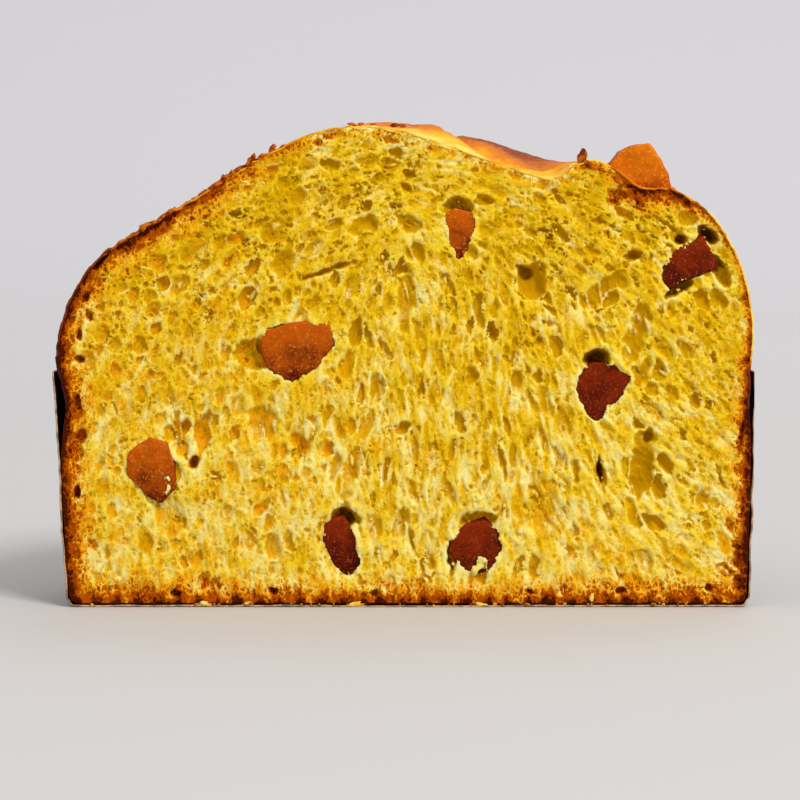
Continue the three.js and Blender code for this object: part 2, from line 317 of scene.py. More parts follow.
@dataclass(frozen=True)
class Loaf:
    """The loaf's outside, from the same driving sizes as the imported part, in millimetres.

    The cut runs through the loaf's axis, so the axis stands in the cut plane.
    """

    rim_radius: float = 91.5
    base_radius: float = 88.3
    case_height: float = 62.0
    paper: float = 0.6
    corner: float = 2.2
    swell_reach: float = 20.0
    clearance: float = 0.35
    scar_centre: tuple[float, float] = (3.0, 33.0)
    scar_half_width: float = 6.5
    scar_depth: float = 2.4
    scar_lip: float = 1.5
    lip_out: float = 2.0
    lip_width: float = 3.2
    crown_swell: float = 3.4
    crown_swell_at: tuple[float, float] = (16.0, 30.0)
    crown_swell_reach: float = 34.0
    lump_height: float = 0.7
    relief_behind: float = 16.0
    dip_at: tuple[float, float] = (40.0, 26.0)
    dip_size: tuple[float, float] = (14.0, 22.0)
    dip_depth: float = 2.2
    hidden_steps: int = 8

    SLACK = {Side.LEFT: (0.1, 1.9), Side.RIGHT: (0.0, 0.3), Side.BACK: (0.6, 0.6)}
    RIM_TO_CROWN = {
        Side.LEFT: (
            (90.6, 63), (90.7, 68), (88.6, 77.2), (84.9, 84.8), (78.8, 92.5), (66.6, 100.3),
            (54, 107.6), (41.8, 115.4), (27, 122.9), (14.1, 125.8), (0, 124.6),
        ),
        Side.RIGHT: (
            (90.4, 62), (91.3, 73), (88.6, 88), (81.2, 101.8), (70.5, 109.4), (61.5, 110.2),
            (51.8, 116.6), (45, 116.4), (37.6, 112.4), (18, 118.4), (0, 124.6),
        ),
        Side.BACK: (
            (90.6, 62), (91, 70), (89.2, 80), (84.8, 91), (76, 101), (64, 109),
            (50, 115.4), (38, 119), (26, 121.6), (13, 123.6), (0, 124.6),
        ),
    }
    SCAR_ARMS = ((37.5, -1), (-37, -1), (-46, 66), (50, 64))

    @staticmethod
    def to_frame(points: Array) -> Array:
        """Turns millimetres, with y behind the cut, into the scene's metres."""
        return points * MM + (0.0, CUT_Y, 0.0)

    @staticmethod
    def from_frame(points: Array) -> Array:
        """Turns the scene's metres into millimetres, with y behind the cut."""
        return (points - (0.0, CUT_Y, 0.0)) / MM

    def wall_radius(self, height: Array) -> Array:
        """Gives the paper wall's outer radius at a height."""
        return self.base_radius + (self.rim_radius - self.base_radius) * height / self.case_height

    def foot(self, x: Array, height: Array) -> Array:
        """Gives how far the loaf's right foot bulges out past the case's cone."""
        low = np.clip(1 - height / self.case_height, 0, 1) ** 0.7
        return 2.0 * low * smoothstep(62, 86, x)

    def swell(self, x: Array, height: Array) -> Array:
        """Gives how far the loaf's sides press against the paper beside the cut."""
        pressed = 0.6 * smoothstep(60, 40, height)
        return np.sign(x) * pressed * smoothstep(60, 80, np.abs(x)) + self.foot(x, height)

    def side_radius(self, height: float) -> float:
        """Gives the radius of the loaf's side at a height inside the case."""
        return self.wall_radius(height) - self.paper - self.clearance

    @staticmethod
    def spline(points: Array, steps: int) -> Array:
        """Draws the uniform Catmull-Rom curve through points, as the part's own dome is drawn.

        Args:
            points: The curve's points, one row each.
            steps: Number of stretches between the points returned.

        Returns:
            steps + 1 points on the curve.
        """
        spans = len(points) - 1
        along = np.linspace(0.0, spans, steps + 1)
        start = np.minimum(along.astype(int), spans - 1)
        w = (along - start)[:, None]
        before, here = points[np.maximum(start - 1, 0)], points[start]
        there, after = points[start + 1], points[np.minimum(start + 2, spans)]
        v0, v1 = (there - before) / 2, (after - here) / 2
        cubic = (2 * here - 2 * there + v0 + v1) * w**3
        return cubic + (-3 * here + 3 * there - 2 * v0 - v1) * w**2 + v0 * w + here

    def outline(self, side: Side, dome_steps: int, inset: float = 0.0) -> Array:
        """Draws the outline in one direction, from the base's middle to the crown.

        Args:
            side: The direction.
            dome_steps: Number of stretches from the paper's rim to the crown.
            inset: How far the outline is drawn in above the paper's rim.

        Returns:
            Rows of radius and height.
        """
        floor = self.paper + self.clearance
        low_slack, high_slack = self.SLACK[side]
        hidden = np.array([
            (0.0, floor),
            (self.side_radius(0) / 2, floor),
            (self.side_radius(0) - self.corner, floor),
            (self.side_radius(0.6) - 0.3 * self.corner, floor + 0.3 * self.corner),
            (self.side_radius(self.corner), floor + self.corner),
            (self.side_radius(20), 20),
            (self.side_radius(38) - low_slack, 38),
            (self.side_radius(54) - high_slack, 54),
            self.RIM_TO_CROWN[side][0],
        ])
        fine = np.arange((len(hidden) - 1) * self.hidden_steps) / self.hidden_steps
        low = np.column_stack([np.interp(fine, range(len(hidden)), column) for column in hidden.T])
        points = np.vstack([low, self.spline(np.array(self.RIM_TO_CROWN[side], float), dome_steps)])
        along = np.gradient(points, axis=0)
        outward = np.column_stack([along[:, 1], -along[:, 0]])
        outward /= np.maximum(np.linalg.norm(outward, axis=1, keepdims=True), 1e-9)
        depth = inset * smoothstep(self.case_height - 16, self.case_height - 4, points[:, 1])
        drawn = points - outward * depth[:, None]
        drawn[[0, -1], 0] = 0.0
        return np.maximum(drawn, 0.0)

    def scar_distance(self, x: Array, y: Array) -> Array:
        """Measures how far a place on the crown is from the cross cut in the dough.

        Args:
            x: Distance to the right of the axis.
            y: Distance behind the cut.

        Returns:
            The distance to the nearest arm's middle line.
        """
        cx, cy = self.scar_centre
        nearest = np.full(np.shape(x), 1e9)
        for ax, ay in self.SCAR_ARMS:
            dx, dy = ax - cx, ay - cy
            along = np.clip(((x - cx) * dx + (y - cy) * dy) / (dx * dx + dy * dy), 0.0, 1.0)
            nearest = np.minimum(nearest, np.hypot(x - cx - along * dx, y - cy - along * dy))
        return nearest

    def crown_relief(self, x: Array, y: Array) -> Array:
        """Works out how far the crown stands above the plain outline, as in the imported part.

        Args:
            x: Distance to the right of the axis.
            y: Distance behind the cut.

        Returns:
            The extra height.
        """
        scar = self.scar_distance(x, y)
        groove = -self.scar_depth * (1 - smoothstep(0, self.scar_half_width, scar))
        past_lip = scar - self.scar_half_width - self.lip_out
        lip = self.scar_lip * np.exp(-((past_lip / self.lip_width) ** 2))
        swell_x, swell_y = self.crown_swell_at
        away = (x - swell_x) ** 2 + (y - swell_y) ** 2
        swell = self.crown_swell * np.exp(-away / self.crown_swell_reach**2)
        lumps = self.lump_height * np.sin(x / 9 + 1.3) * np.sin(y / 8 + 0.4)
        inner = 1 - smoothstep(62, 80, np.hypot(x, y))
        return smoothstep(0, self.relief_behind, y) * inner * (groove + lip + swell + lumps)

    def place(self, step: Array, angle: Array, dome_steps: int, inset: float = 0.0) -> Array:
        """Finds points of the loaf's surface.

        Args:
            step: Index of each point along the outline.
            angle: Direction of each point round the axis, from +X.
            dome_steps: Stretches of the dome, as given to outline.
            inset: Inset, as given to outline.

        Returns:
            Rows of x, y behind the cut and height.
        """
        drawn = {side: self.outline(side, dome_steps, inset) for side in Side}
        back = np.sin(angle)[:, None] ** 2
        right = (np.cos(angle) >= 0)[:, None]
        front = np.where(right, drawn[Side.RIGHT][step], drawn[Side.LEFT][step])
        radius, height = (front * (1 - back) + drawn[Side.BACK][step] * back).T
        x, y = radius * np.cos(angle), radius * np.sin(angle)
        crown = np.where(height > self.case_height + 12, self.crown_relief(x, y), 0.0)
        across, deep = ((v - at) / size for v, at, size in zip((x, y), self.dip_at, self.dip_size))
        crown -= self.dip_depth * np.exp(-(across**2) - deep**2) * smoothstep(0, 10, y)
        near = np.exp(-((y / self.swell_reach) ** 2))
        return np.column_stack([x + self.swell(x, height) * near, y, height + crown])

    def section(self) -> Array:
        """Draws the outline of the cut face, closed at the base.

        Returns:
            Rows of x and height.
        """
        left = self.outline(Side.LEFT, 120) * (-1, 1)
        right = self.outline(Side.RIGHT, 120)
        section = np.vstack([right, left[::-1]])
        section[:, 0] += self.swell(section[:, 0], section[:, 1])
        return section

    def turned(
        self, name: str, rows: range, around: int, dome_steps: int, inset: float,
    ) -> bpy.types.Mesh:
        """Spins a stretch of the outline right round and moves it to the loaf's true surface.

        Args:
            name: Name of the mesh.
            rows: Indices along the outline that the mesh covers.
            around: Number of segments in a full turn.
            dome_steps: Stretches of the dome, as given to outline.
            inset: Inset, as given to outline.

        Returns:
            The mesh, in the scene's metres.
        """
        drawn = self.outline(Side.BACK, dome_steps, inset)
        bm = bmesh.new()
        step_layer = bm.verts.layers.int.new("step")
        corners = []
        for row in rows:
            corner = bm.verts.new((max(drawn[row, 0], 1e-4), 0.0, drawn[row, 1]))
            corner[step_layer] = row
            corners.append(corner)
        edges = [bm.edges.new(pair) for pair in zip(corners, corners[1:])]
        bmesh.ops.spin(
            bm, geom=[*corners, *edges], cent=(0, 0, 0), axis=(0, 0, 1),
            angle=math.tau, steps=around, use_merge=True,
        )
        bmesh.ops.recalc_face_normals(bm, faces=bm.faces)
        mesh = MeshWork.mesh_from(bm, name)
        steps = np.empty(len(mesh.vertices), int)
        mesh.attributes["step"].data.foreach_get("value", steps)
        round_points = MeshWork.points_of(mesh)
        angle = np.arctan2(round_points[:, 1], round_points[:, 0])
        MeshWork.move_points(mesh, self.to_frame(self.place(steps, angle, dome_steps, inset)))
        return mesh

    @staticmethod
    def weld(mesh: bpy.types.Mesh) -> None:
        """Merges the points that meet at the axis and turns every face outwards.

        Args:
            mesh: The mesh, which is changed.
        """
        bm = bmesh.new()
        bm.from_mesh(mesh)
        bmesh.ops.remove_doubles(bm, verts=bm.verts, dist=2e-6)
        bmesh.ops.recalc_face_normals(bm, faces=bm.faces)
        bm.to_mesh(mesh)
        bm.free()


@dataclass(frozen=True)
class Pore:
    """A bubble in the crumb, in millimetres.

    x and z are its middle on the cut face, lean is how many degrees its long side leans to the
    right, and behind is how far its middle lies behind the cut.
    """

    x: float
    z: float
    half_width: float
    half_length: float
    lean: float
    half_depth: float
    behind: float = 0.0


@dataclass(frozen=True)
class PoreKind:
    """A size of pore that is scattered all over the crumb, in millimetres and shares."""

    tries: int
    half_length: tuple[float, float]
    slim: tuple[float, float]
    spacing: float
    deepest: float


class Foam:
    """The open crumb in a block behind the cut face.

    SHOWN, RIM_HOLES and HOLLOWS are the openings that are placed one by one. KINDS are scattered.
    nearest and second hold how far each point lies outside the two pores it is closest to. A wall
    stands where the two are nearly alike, and dense crumb where both are far.
    """

    STEP = 0.3
    X_RANGE = (-94.2, 94.2)
    Z_RANGE = (-1.5, 128.7)
    Y_RANGE = (-0.3, 8.1)
    FAR = 9.0
    WIDEST = 91.0
    REACH = 0.85
    FIBROUS_AT = (22, 42)
    FIBROUS_SIZE = (44, 46)
    KINDS = (
        PoreKind(2200, (2.0, 3.6), (0.5, 0.8), 0.55, 5.0),
        PoreKind(10000, (1.25, 2.0), (0.5, 0.85), 0.5, 5.5),
        PoreKind(60000, (0.75, 1.25), (0.55, 0.95), 0.42, 4.5),
        PoreKind(90000, (0.42, 0.75), (0.6, 1.0), 0.4, 2.2),
    )
    SHOWN = (
        Pore(62.4, 37, 3.2, 9.2, 8, 5.6), Pore(-37, 48, 4.6, 5.6, 10, 4.2),
        Pore(-27, 44.5, 3.4, 6.4, 12, 2.6), Pore(-62, 24, 4.4, 6.2, -20, 3.4),
        Pore(-52.6, 45, 2.2, 6, 8, 6.0), Pore(33.4, 85.6, 4.6, 5, 0, 5.6),
        Pore(53, 83.4, 3.4, 8.4, 58, 4.0), Pore(61, 72, 2.8, 10, 14, 4.0),
        Pore(-20.6, 88.2, 1.1, 8.6, 72, 4.6), Pore(-10, 100, 2.0, 5.4, 62, 3.4),
        Pore(1, 81, 2.6, 8.6, 4, 3.6), Pore(36, 25.6, 7, 10, -6, 2.6),
        Pore(9, 17, 5, 8, 6, 2.6), Pore(-55.6, 92.6, 2.6, 5.8, 40, 2.8),
        Pore(-30.6, 90.4, 3.0, 4.6, 40, 3.0), Pore(-34, 98.4, 3.0, 4.6, 50, 2.6),
        Pore(-13.6, 36, 2.4, 7, 12, 3.4), Pore(42, 49.4, 3, 5, 6, 2.8),
        Pore(52, 35.4, 1.5, 5, -14, 7.5),
        Pore(1.3, 110.6, 1.7, 1.2, 30, 6.5), Pore(-0.5, 105.4, 0.9, 1.6, 80, 6.0),
        Pore(-4.4, 36.5, 1.1, 2.4, 10, 7.0), Pore(-0.8, 47, 1.4, 2.2, 20, 5.6),
        Pore(60, 92.2, 1.0, 1.9, 75, 6.5), Pore(76.2, 54, 1.4, 2.2, 0, 5.6),
        Pore(-57.2, 47, 1.1, 3.6, 6, 7.5), Pore(-55.3, 37.8, 1.4, 2.2, 20, 4.6),
        Pore(-18.5, 100.4, 1.6, 3.4, 70, 3.4), Pore(-43, 97.5, 1.4, 3.0, 60, 3.8),
        Pore(-37.8, 26.4, 1.4, 2.8, 30, 3.4), Pore(-40.2, 17.7, 1.6, 3.2, -20, 3.4),
        Pore(-68.1, 16.7, 1.9, 3.0, 10, 3.6), Pore(-54, 12.3, 1.6, 3.2, 20, 3.4),
        Pore(6.3, 16.7, 4.0, 4.6, 0, 2.6), Pore(-20.6, 41.5, 2.6, 3.4, 0, 2.8),
        Pore(62.6, 60.8, 1.6, 4.0, 10, 3.6), Pore(59.5, 25.3, 1.6, 3.4, -6, 3.4),
        Pore(78.3, 28.4, 1.9, 3.6, 0, 3.6), Pore(30, 58.7, 1.4, 3.6, 4, 3.4),
        Pore(55, 106.4, 0.55, 5.0, -72, 3.4), Pore(62.4, 104.2, 0.5, 5.6, -68, 3.6),
        Pore(69, 100.6, 0.5, 5.0, -60, 3.2), Pore(49.6, 102, 0.5, 4.6, -76, 3.0),
        Pore(58, 99.4, 0.5, 4.4, -70, 3.0), Pore(44, 108, 0.5, 4.0, -78, 3.0),
        Pore(66, 96.4, 0.5, 3.4, -66, 3.0), Pore(79.4, 93.6, 0.5, 3.0, -50, 3.0),
        Pore(18, 61.9, 1.3, 3.4, -4, 3.2), Pore(54.5, 81.4, 1.8, 3.4, 40, 3.8),
    )
    RIM_HOLES = (
        Pore(-79.5, 91.5, 1.4, 3.4, 40, 4.0), Pore(-83.3, 81.5, 1.0, 1.7, 10, 4.0),
        Pore(-82, 76.7, 1.1, 1.7, 0, 4.0), Pore(-84.3, 71.5, 1.1, 1.8, 0, 4.5),
        Pore(-84.8, 65.2, 1.4, 1.1, 0, 6.0), Pore(-85.7, 30.5, 1.0, 1.6, 0, 5.5),
        Pore(88.2, 44.6, 0.9, 6.0, 2, 2.6), Pore(87.8, 12.6, 1.3, 3.4, 0, 2.8),
        Pore(88.6, 26, 0.6, 4.4, 0, 1.8), Pore(83.2, 34, 0.9, 3.0, -8, 2.4),
        Pore(-84.5, 45, 1.3, 2.1, 10, 3.6), Pore(-85.5, 54, 1.3, 2.3, -6, 3.4),
        Pore(-60, 3.6, 1.4, 0.9, 0, 3.4), Pore(-34, 4.2, 1.6, 0.9, 0, 3.6),
        Pore(-8, 3.8, 1.3, 0.9, 0, 3.4), Pore(33, 4.0, 1.4, 0.8, 0, 3.4),
        Pore(57, 4.3, 1.5, 0.9, 0, 3.6), Pore(80, 5.5, 1.3, 1.1, 0, 3.6),
    )
    HOLLOWS = (
        Pore(-39.5, 67, 5.6, 4.2, 20, 4.4), Pore(-58.5, 44, 3.0, 6.0, -10, 3.6),
        Pore(-15.4, 23.4, 4.6, 3.4, 0, 6.5), Pore(-17.4, 15.9, 5.8, 9.4, -18, 3.0),
        Pore(50.6, 65.4, 4.2, 3.2, 0, 8.0), Pore(79.6, 98, 3.2, 2.0, 30, 7.5),
        Pore(82.8, 88, 2.4, 4.6, -25, 4.0), Pore(72.6, 96.6, 1.6, 1.4, 0, 6.0),
        Pore(71.5, 83.5, 1.4, 5.0, 60, 6.5), Pore(-20.6, 88.2, 0.8, 8.6, 72, 2.6),
        Pore(31.8, 87.6, 2.8, 2.0, 20, 5.4), Pore(64.0, 44.6, 1.3, 2.6, 8, 4.6),
        Pore(51.8, 36.4, 0.9, 4.4, -6, 6.0), Pore(-55.3, 37.8, 1.1, 2.0, 20, 6.0),
        Pore(14.4, 105, 4.2, 2.8, 0, 4.6),
        Pore(19.5, 23, 6.0, 2.8, 0, 4.4), Pore(12.4, 13.0, 1.4, 5.2, 0, 5.0),
    )

    def __init__(self, loaf: Loaf, seed: int) -> None:
        """Lays out the block without a pore in it.

        Args:
            loaf: The loaf's outside.
            seed: Seed of everything drawn at random here.
        """
        self.loaf = loaf
        self.rng = np.random.default_rng(seed)
        self.grain = Grain(seed)
        self.x = np.arange(*self.X_RANGE, self.STEP)
        self.z = np.arange(*self.Z_RANGE, self.STEP)
        self.y = np.arange(*self.Y_RANGE, self.STEP)
        self.grid_x, self.grid_z = np.meshgrid(self.x, self.z)
        shape = (len(self.y), *self.grid_x.shape)
        self.nearest = np.full(shape, self.FAR, np.float32)
        self.second = np.full(shape, self.FAR, np.float32)
        self.warped_x = self.warped(self.grid_x, (0, 3, 51))
        self.warped_z = self.warped(self.grid_z, (6, 9, 54))
        self.ragged = self.noise(3.2, 45, 0.9) + self.noise(1.3, 48, 0.5)
        self.holes = self.noise(1.5, 57, 1.2) + self.noise(4.0, 60, 0.8)
        self.edge = self.edge_distance()

    def noise(self, size: float, layer: int, strength: float) -> Array:
        """Samples noise over the cut face.

        Args:
            size: Lattice distance of the noise.
            layer: Which slice of the noise is taken, so that two samples differ.
            strength: Factor on the noise.

        Returns:
            One number for each grid point.
        """
        slice_at = np.full(self.grid_x.size, layer * size + 0.5 * size)
        places = np.column_stack([self.grid_x.ravel(), slice_at, self.grid_z.ravel()])
        return strength * self.grain.at(places, size).reshape(self.grid_x.shape)

    def warped(self, grid: Array, layers: tuple[int, int, int]) -> Array:
        """Shifts one coordinate of the grid by coarse, middling and fine noise.

        Args:
            grid: The coordinate of each grid point.
            layers: The slice of the noise that each of the three takes.

        Returns:
            The shifted coordinates.
        """
        coarse, middling, fine = layers
        shifted = grid + self.noise(7.0, coarse, 0.9) + self.noise(2.0, middling, 0.42)
        return shifted + self.noise(0.9, fine, 0.26)

    def edge_distance(self) -> Array:
        """Measures how far each grid point lies inside the loaf's outline.

        Returns:
            The distance for each grid point, negative outside.
        """
        outline = self.loaf.section()
        distance = np.full(self.grid_x.shape, self.FAR)
        for row, z in enumerate(self.z):
            near = outline[np.abs(outline[:, 1] - z) < self.FAR]
            if len(near):
                squares = (self.x[:, None] - near[:, 0]) ** 2 + (z - near[:, 1]) ** 2
                distance[row] = np.minimum(self.FAR, np.sqrt(squares.min(axis=1)))
        split = self.loaf.case_height + 1
        high, low = outline[outline[:, 1] > split], outline[outline[:, 1] < split]
        left, right = (low[low[:, 0] < 0], low[low[:, 0] >= 0])
        roof = np.interp(self.x, *high[np.argsort(high[:, 0])].T)
        walls = [np.interp(self.z, *side[np.argsort(side[:, 1])].T[::-1]) for side in (left, right)]
        between = (self.grid_x > walls[0][:, None]) & (self.grid_x < walls[1][:, None])
        below = self.grid_z < split
        inside = (self.grid_z > outline[:, 1].min()) & (self.grid_z < roof[None, :])
        inside &= np.where(below, between, np.abs(self.grid_x) < self.WIDEST)
        return np.where(inside, distance, -distance)

    def blurred(self, values: Array, radius: float) -> Array:
        """Blurs a field of the cut face.

        Args:
            values: The field.
            radius: How far the blur reaches, in millimetres.

        Returns:
            The blurred field.
        """
        waves_x = np.fft.rfftfreq(values.shape[1], self.STEP)
        waves_z = np.fft.fftfreq(values.shape[0], self.STEP)[:, None]
        fade = np.exp(-2 * (math.pi * radius) ** 2 * (waves_x**2 + waves_z**2))
        return np.fft.irfft2(np.fft.rfft2(values) * fade, s=values.shape)

    @staticmethod
    def lean(x: Array, z: Array) -> Array:
        """Gives the crumb's direction: along the crust, upright in the middle, fanning out low right.

        Args:
            x: Distance to the right of the axis.
            z: Height.

        Returns:
            Degrees from upright, to the right.
        """
        up = np.maximum(z - 30.0, 0.0)
        near_crust = smoothstep(0.42, 0.95, np.hypot(x / 91.5, up / 96))
        tangent = np.arctan2(up / 96**2, np.abs(x) / 91.5**2)
        fan = 38 * smoothstep(22, 70, x) * smoothstep(80, 45, z)
        return -np.sign(x) * near_crust * np.degrees(tangent) - fan

    def fibres(self, length: float, width: float) -> Array:
        """Draws random fibres that run in the crumb's direction, by smearing noise along it.

        Args:
            length: Half length of a fibre.
            width: How far the noise is blurred across the fibres, 0 for one grid step.

        Returns:
            Numbers round 0 with a spread of 1.
        """
        start = self.rng.normal(size=self.grid_x.shape)
        start = self.blurred(start, width) if width else start
        swirl = self.noise(6.0, 39, 26.0) + self.noise(2.5, 42, 22.0)
        turn = np.radians(self.lean(self.grid_x, self.grid_z) + swirl)
        rows, columns = np.indices(start.shape)
        total = np.zeros(start.shape)
        steps = int(length / self.STEP)
        for step in range(-steps, steps + 1):
            row = np.clip(np.rint(rows + step * np.cos(turn)), 0, start.shape[0] - 1).astype(int)
            column = np.clip(np.rint(columns + step * np.sin(turn)), 0, start.shape[1] - 1).astype(int)
            total += start[row, column] * (1 + math.cos(math.pi * step / (steps + 1)))
        return (total - total.mean()) / total.std()

    def window(self, pore: Pore, reach: float) -> tuple[slice, slice, slice]:
        """Finds the part of the block that lies within reach of a pore.

        Args:
            pore: The pore.
            reach: How far round the pore the part goes.

        Returns:
            Slices of the block's depths, rows and columns.
        """
        across = max(pore.half_width, pore.half_length) + reach + 1.2
        spans = (
            (pore.behind - self.y[0], pore.half_depth + reach),
            (pore.z - self.z[0], across),
            (pore.x - self.x[0], across),
        )
        return tuple(
            slice(max(int((at - far) / self.STEP), 0), max(int((at + far) / self.STEP) + 2, 0))
            for at, far in spans
        )

    def spread(self, pore: Pore, window: tuple[slice, slice]) -> tuple[Array, Array]:
        """Measures places on the cut face from a pore's middle, in its own half sizes.

        Args:
            pore: The pore.
            window: The rows and columns of the places.

        Returns:
            How far each place lies along the pore and across it.
        """
        turn = math.radians(pore.lean)
        dx, dz = self.warped_x[window] - pore.x, self.warped_z[window] - pore.z
        along = (dx * math.sin(turn) + dz * math.cos(turn)) / pore.half_length
        across = (dx * math.cos(turn) - dz * math.sin(turn)) / pore.half_width
        return along, across

    def outside(self, pore: Pore, window: tuple[slice, slice, slice]) -> Array:
        """Measures how far points of the block lie outside a pore.

        Args:
            pore: The pore.
            window: The part of the block, as given by window.

        Returns:
            The distance for each of its points, negative inside the pore.
        """
        along, across = self.spread(pore, window[1:])
        back = (self.y[window[0]] - pore.behind) / pore.half_depth
        flat, deep = (along**2 + across**2).astype(np.float32), (back**2).astype(np.float32)
        squares = flat[None] + deep[:, None, None]
        return (np.sqrt(squares) - 1) * min(pore.half_width, pore.half_depth, pore.half_length)

    def open_pore(self, pore: Pore) -> None:
        """Adds a pore to the foam.

        Args:
            pore: The pore.
        """
        window = self.window(pore, self.REACH)
        away = self.outside(pore, window)
        nearest, second = self.nearest[window], self.second[window]
        np.minimum(second, np.maximum(nearest, away), out=second)
        np.minimum(nearest, away, out=nearest)

    def scatter(self, kind: PoreKind) -> int:
        """Adds pores of a kind in places drawn at random, wherever there is room.

        Args:
            kind: The kind.

        Returns:
            How many found room.
        """
        made = 0
        (fibrous_x, fibrous_z), (wide, high) = self.FIBROUS_AT, self.FIBROUS_SIZE
        for draw in self.rng.uniform(size=(kind.tries, 7)):
            x = self.X_RANGE[0] + draw[0] * (self.X_RANGE[1] - self.X_RANGE[0])
            z = self.Z_RANGE[0] + draw[1] * (self.Z_RANGE[1] - self.Z_RANGE[0])
            behind = -0.6 + draw[2] * (kind.deepest + 0.6)
            length = kind.half_length[0] + draw[3] ** 1.4 * (kind.half_length[1] - kind.half_length[0])
            width = length * (kind.slim[0] + draw[4] * (kind.slim[1] - kind.slim[0]))
            row, column = int((z - self.z[0]) / self.STEP), int((x - self.x[0]) / self.STEP)
            layer = max(int((behind - self.y[0]) / self.STEP), 0)
            if self.nearest[layer, row, column] < kind.spacing * width or self.edge[row, column] < 0.6:
                continue
            across, up = (x - fibrous_x) / wide, (z - fibrous_z) / high
            fibrous = math.exp(-(across**2) - up**2)
            tight = 1 - 0.35 * math.exp(-self.edge[row, column] / 3.0)
            self.open_pore(Pore(
                x, z, width * tight * (1 - 0.22 * fibrous), length * tight * (1 + 0.75 * fibrous),
                self.lean(x, z) + (draw[5] - 0.5) * 46, width * tight * (0.8 + 0.5 * draw[6]), behind,
            ))
            made += 1
        return made

    def walls(self) -> Array:
        """Works out how far each point of the block lies inside solid crumb.

        Returns:
            The distance for each point, negative in a pore.
        """
        thickness = 0.2 + self.noise(1.7, 12, 0.4) + self.noise(5.0, 15, 0.12)
        dense = 0.16 + self.noise(3.0, 18, 0.14)
        solid = np.empty_like(self.nearest)
        for layer in range(len(self.y)):
            torn = np.roll(thickness, (5 * layer, 3 * layer), axis=(0, 1))
            wall = torn - (self.second[layer] - self.nearest[layer])
            solid[layer] = np.maximum(wall, self.nearest[layer] - dense)
        return solid

    def line(self, solid: Array, pore: Pore, skin: float) -> None:
        """Empties a large pore and lines it with a smooth skin.

        Args:
            solid: The block from walls, which is changed.
            pore: The pore.
            skin: Thickness of the skin.
        """
        window = self.window(pore, 0.6)
        away = self.outside(pore, window) + self.ragged[window[1:]].astype(np.float32)
        torn = skin - 0.5 * np.maximum(self.holes[window[1:]], 0).astype(np.float32)
        part = solid[window]
        np.minimum(part, away, out=part)
        np.maximum(part, np.minimum(away, torn - away), out=part)

    def bowl(self, pore: Pore) -> Array:
        """Works out the depth of a bowl-shaped hole with a ragged rim.

        Args:
            pore: The hole.

        Returns:
            The depth at each grid point, 0 outside the hole.
        """
        along, across = self.spread(pore, (slice(None), slice(None)))
        level = 1 - np.hypot(along, across) - self.ragged / (pore.half_width + pore.half_length)
        return pore.half_depth * np.sqrt(np.clip(2 * level, 0, 1))

    def look(self, solid: Array) -> Array:
        """Finds how far behind the knife's plane the first solid crumb is seen.

        Args:
            solid: The block from walls.

        Returns:
            The depth at each grid point.
        """
        start = 0.5 + self.noise(8.0, 21, 0.4) + self.noise(2.6, 24, 0.3) + self.noise(1.1, 27, 0.22)
        start = np.maximum(start, 0.1)
        depth = np.full(start.shape, self.y[-1])
        unseen = np.ones(start.shape, bool)
        for layer in range(1, len(self.y)):
            here, before = solid[layer], solid[layer - 1]
            hit = unseen & (here > 0) & (self.y[layer] >= start)
            share = np.clip(-before[hit] / (here[hit] - before[hit] + 1e-9), 0, 1)
            found = np.where(before[hit] < 0, self.y[layer - 1] + self.STEP * share, start[hit])
            depth[hit] = np.maximum(found, start[hit])
            unseen &= ~hit
        return depth


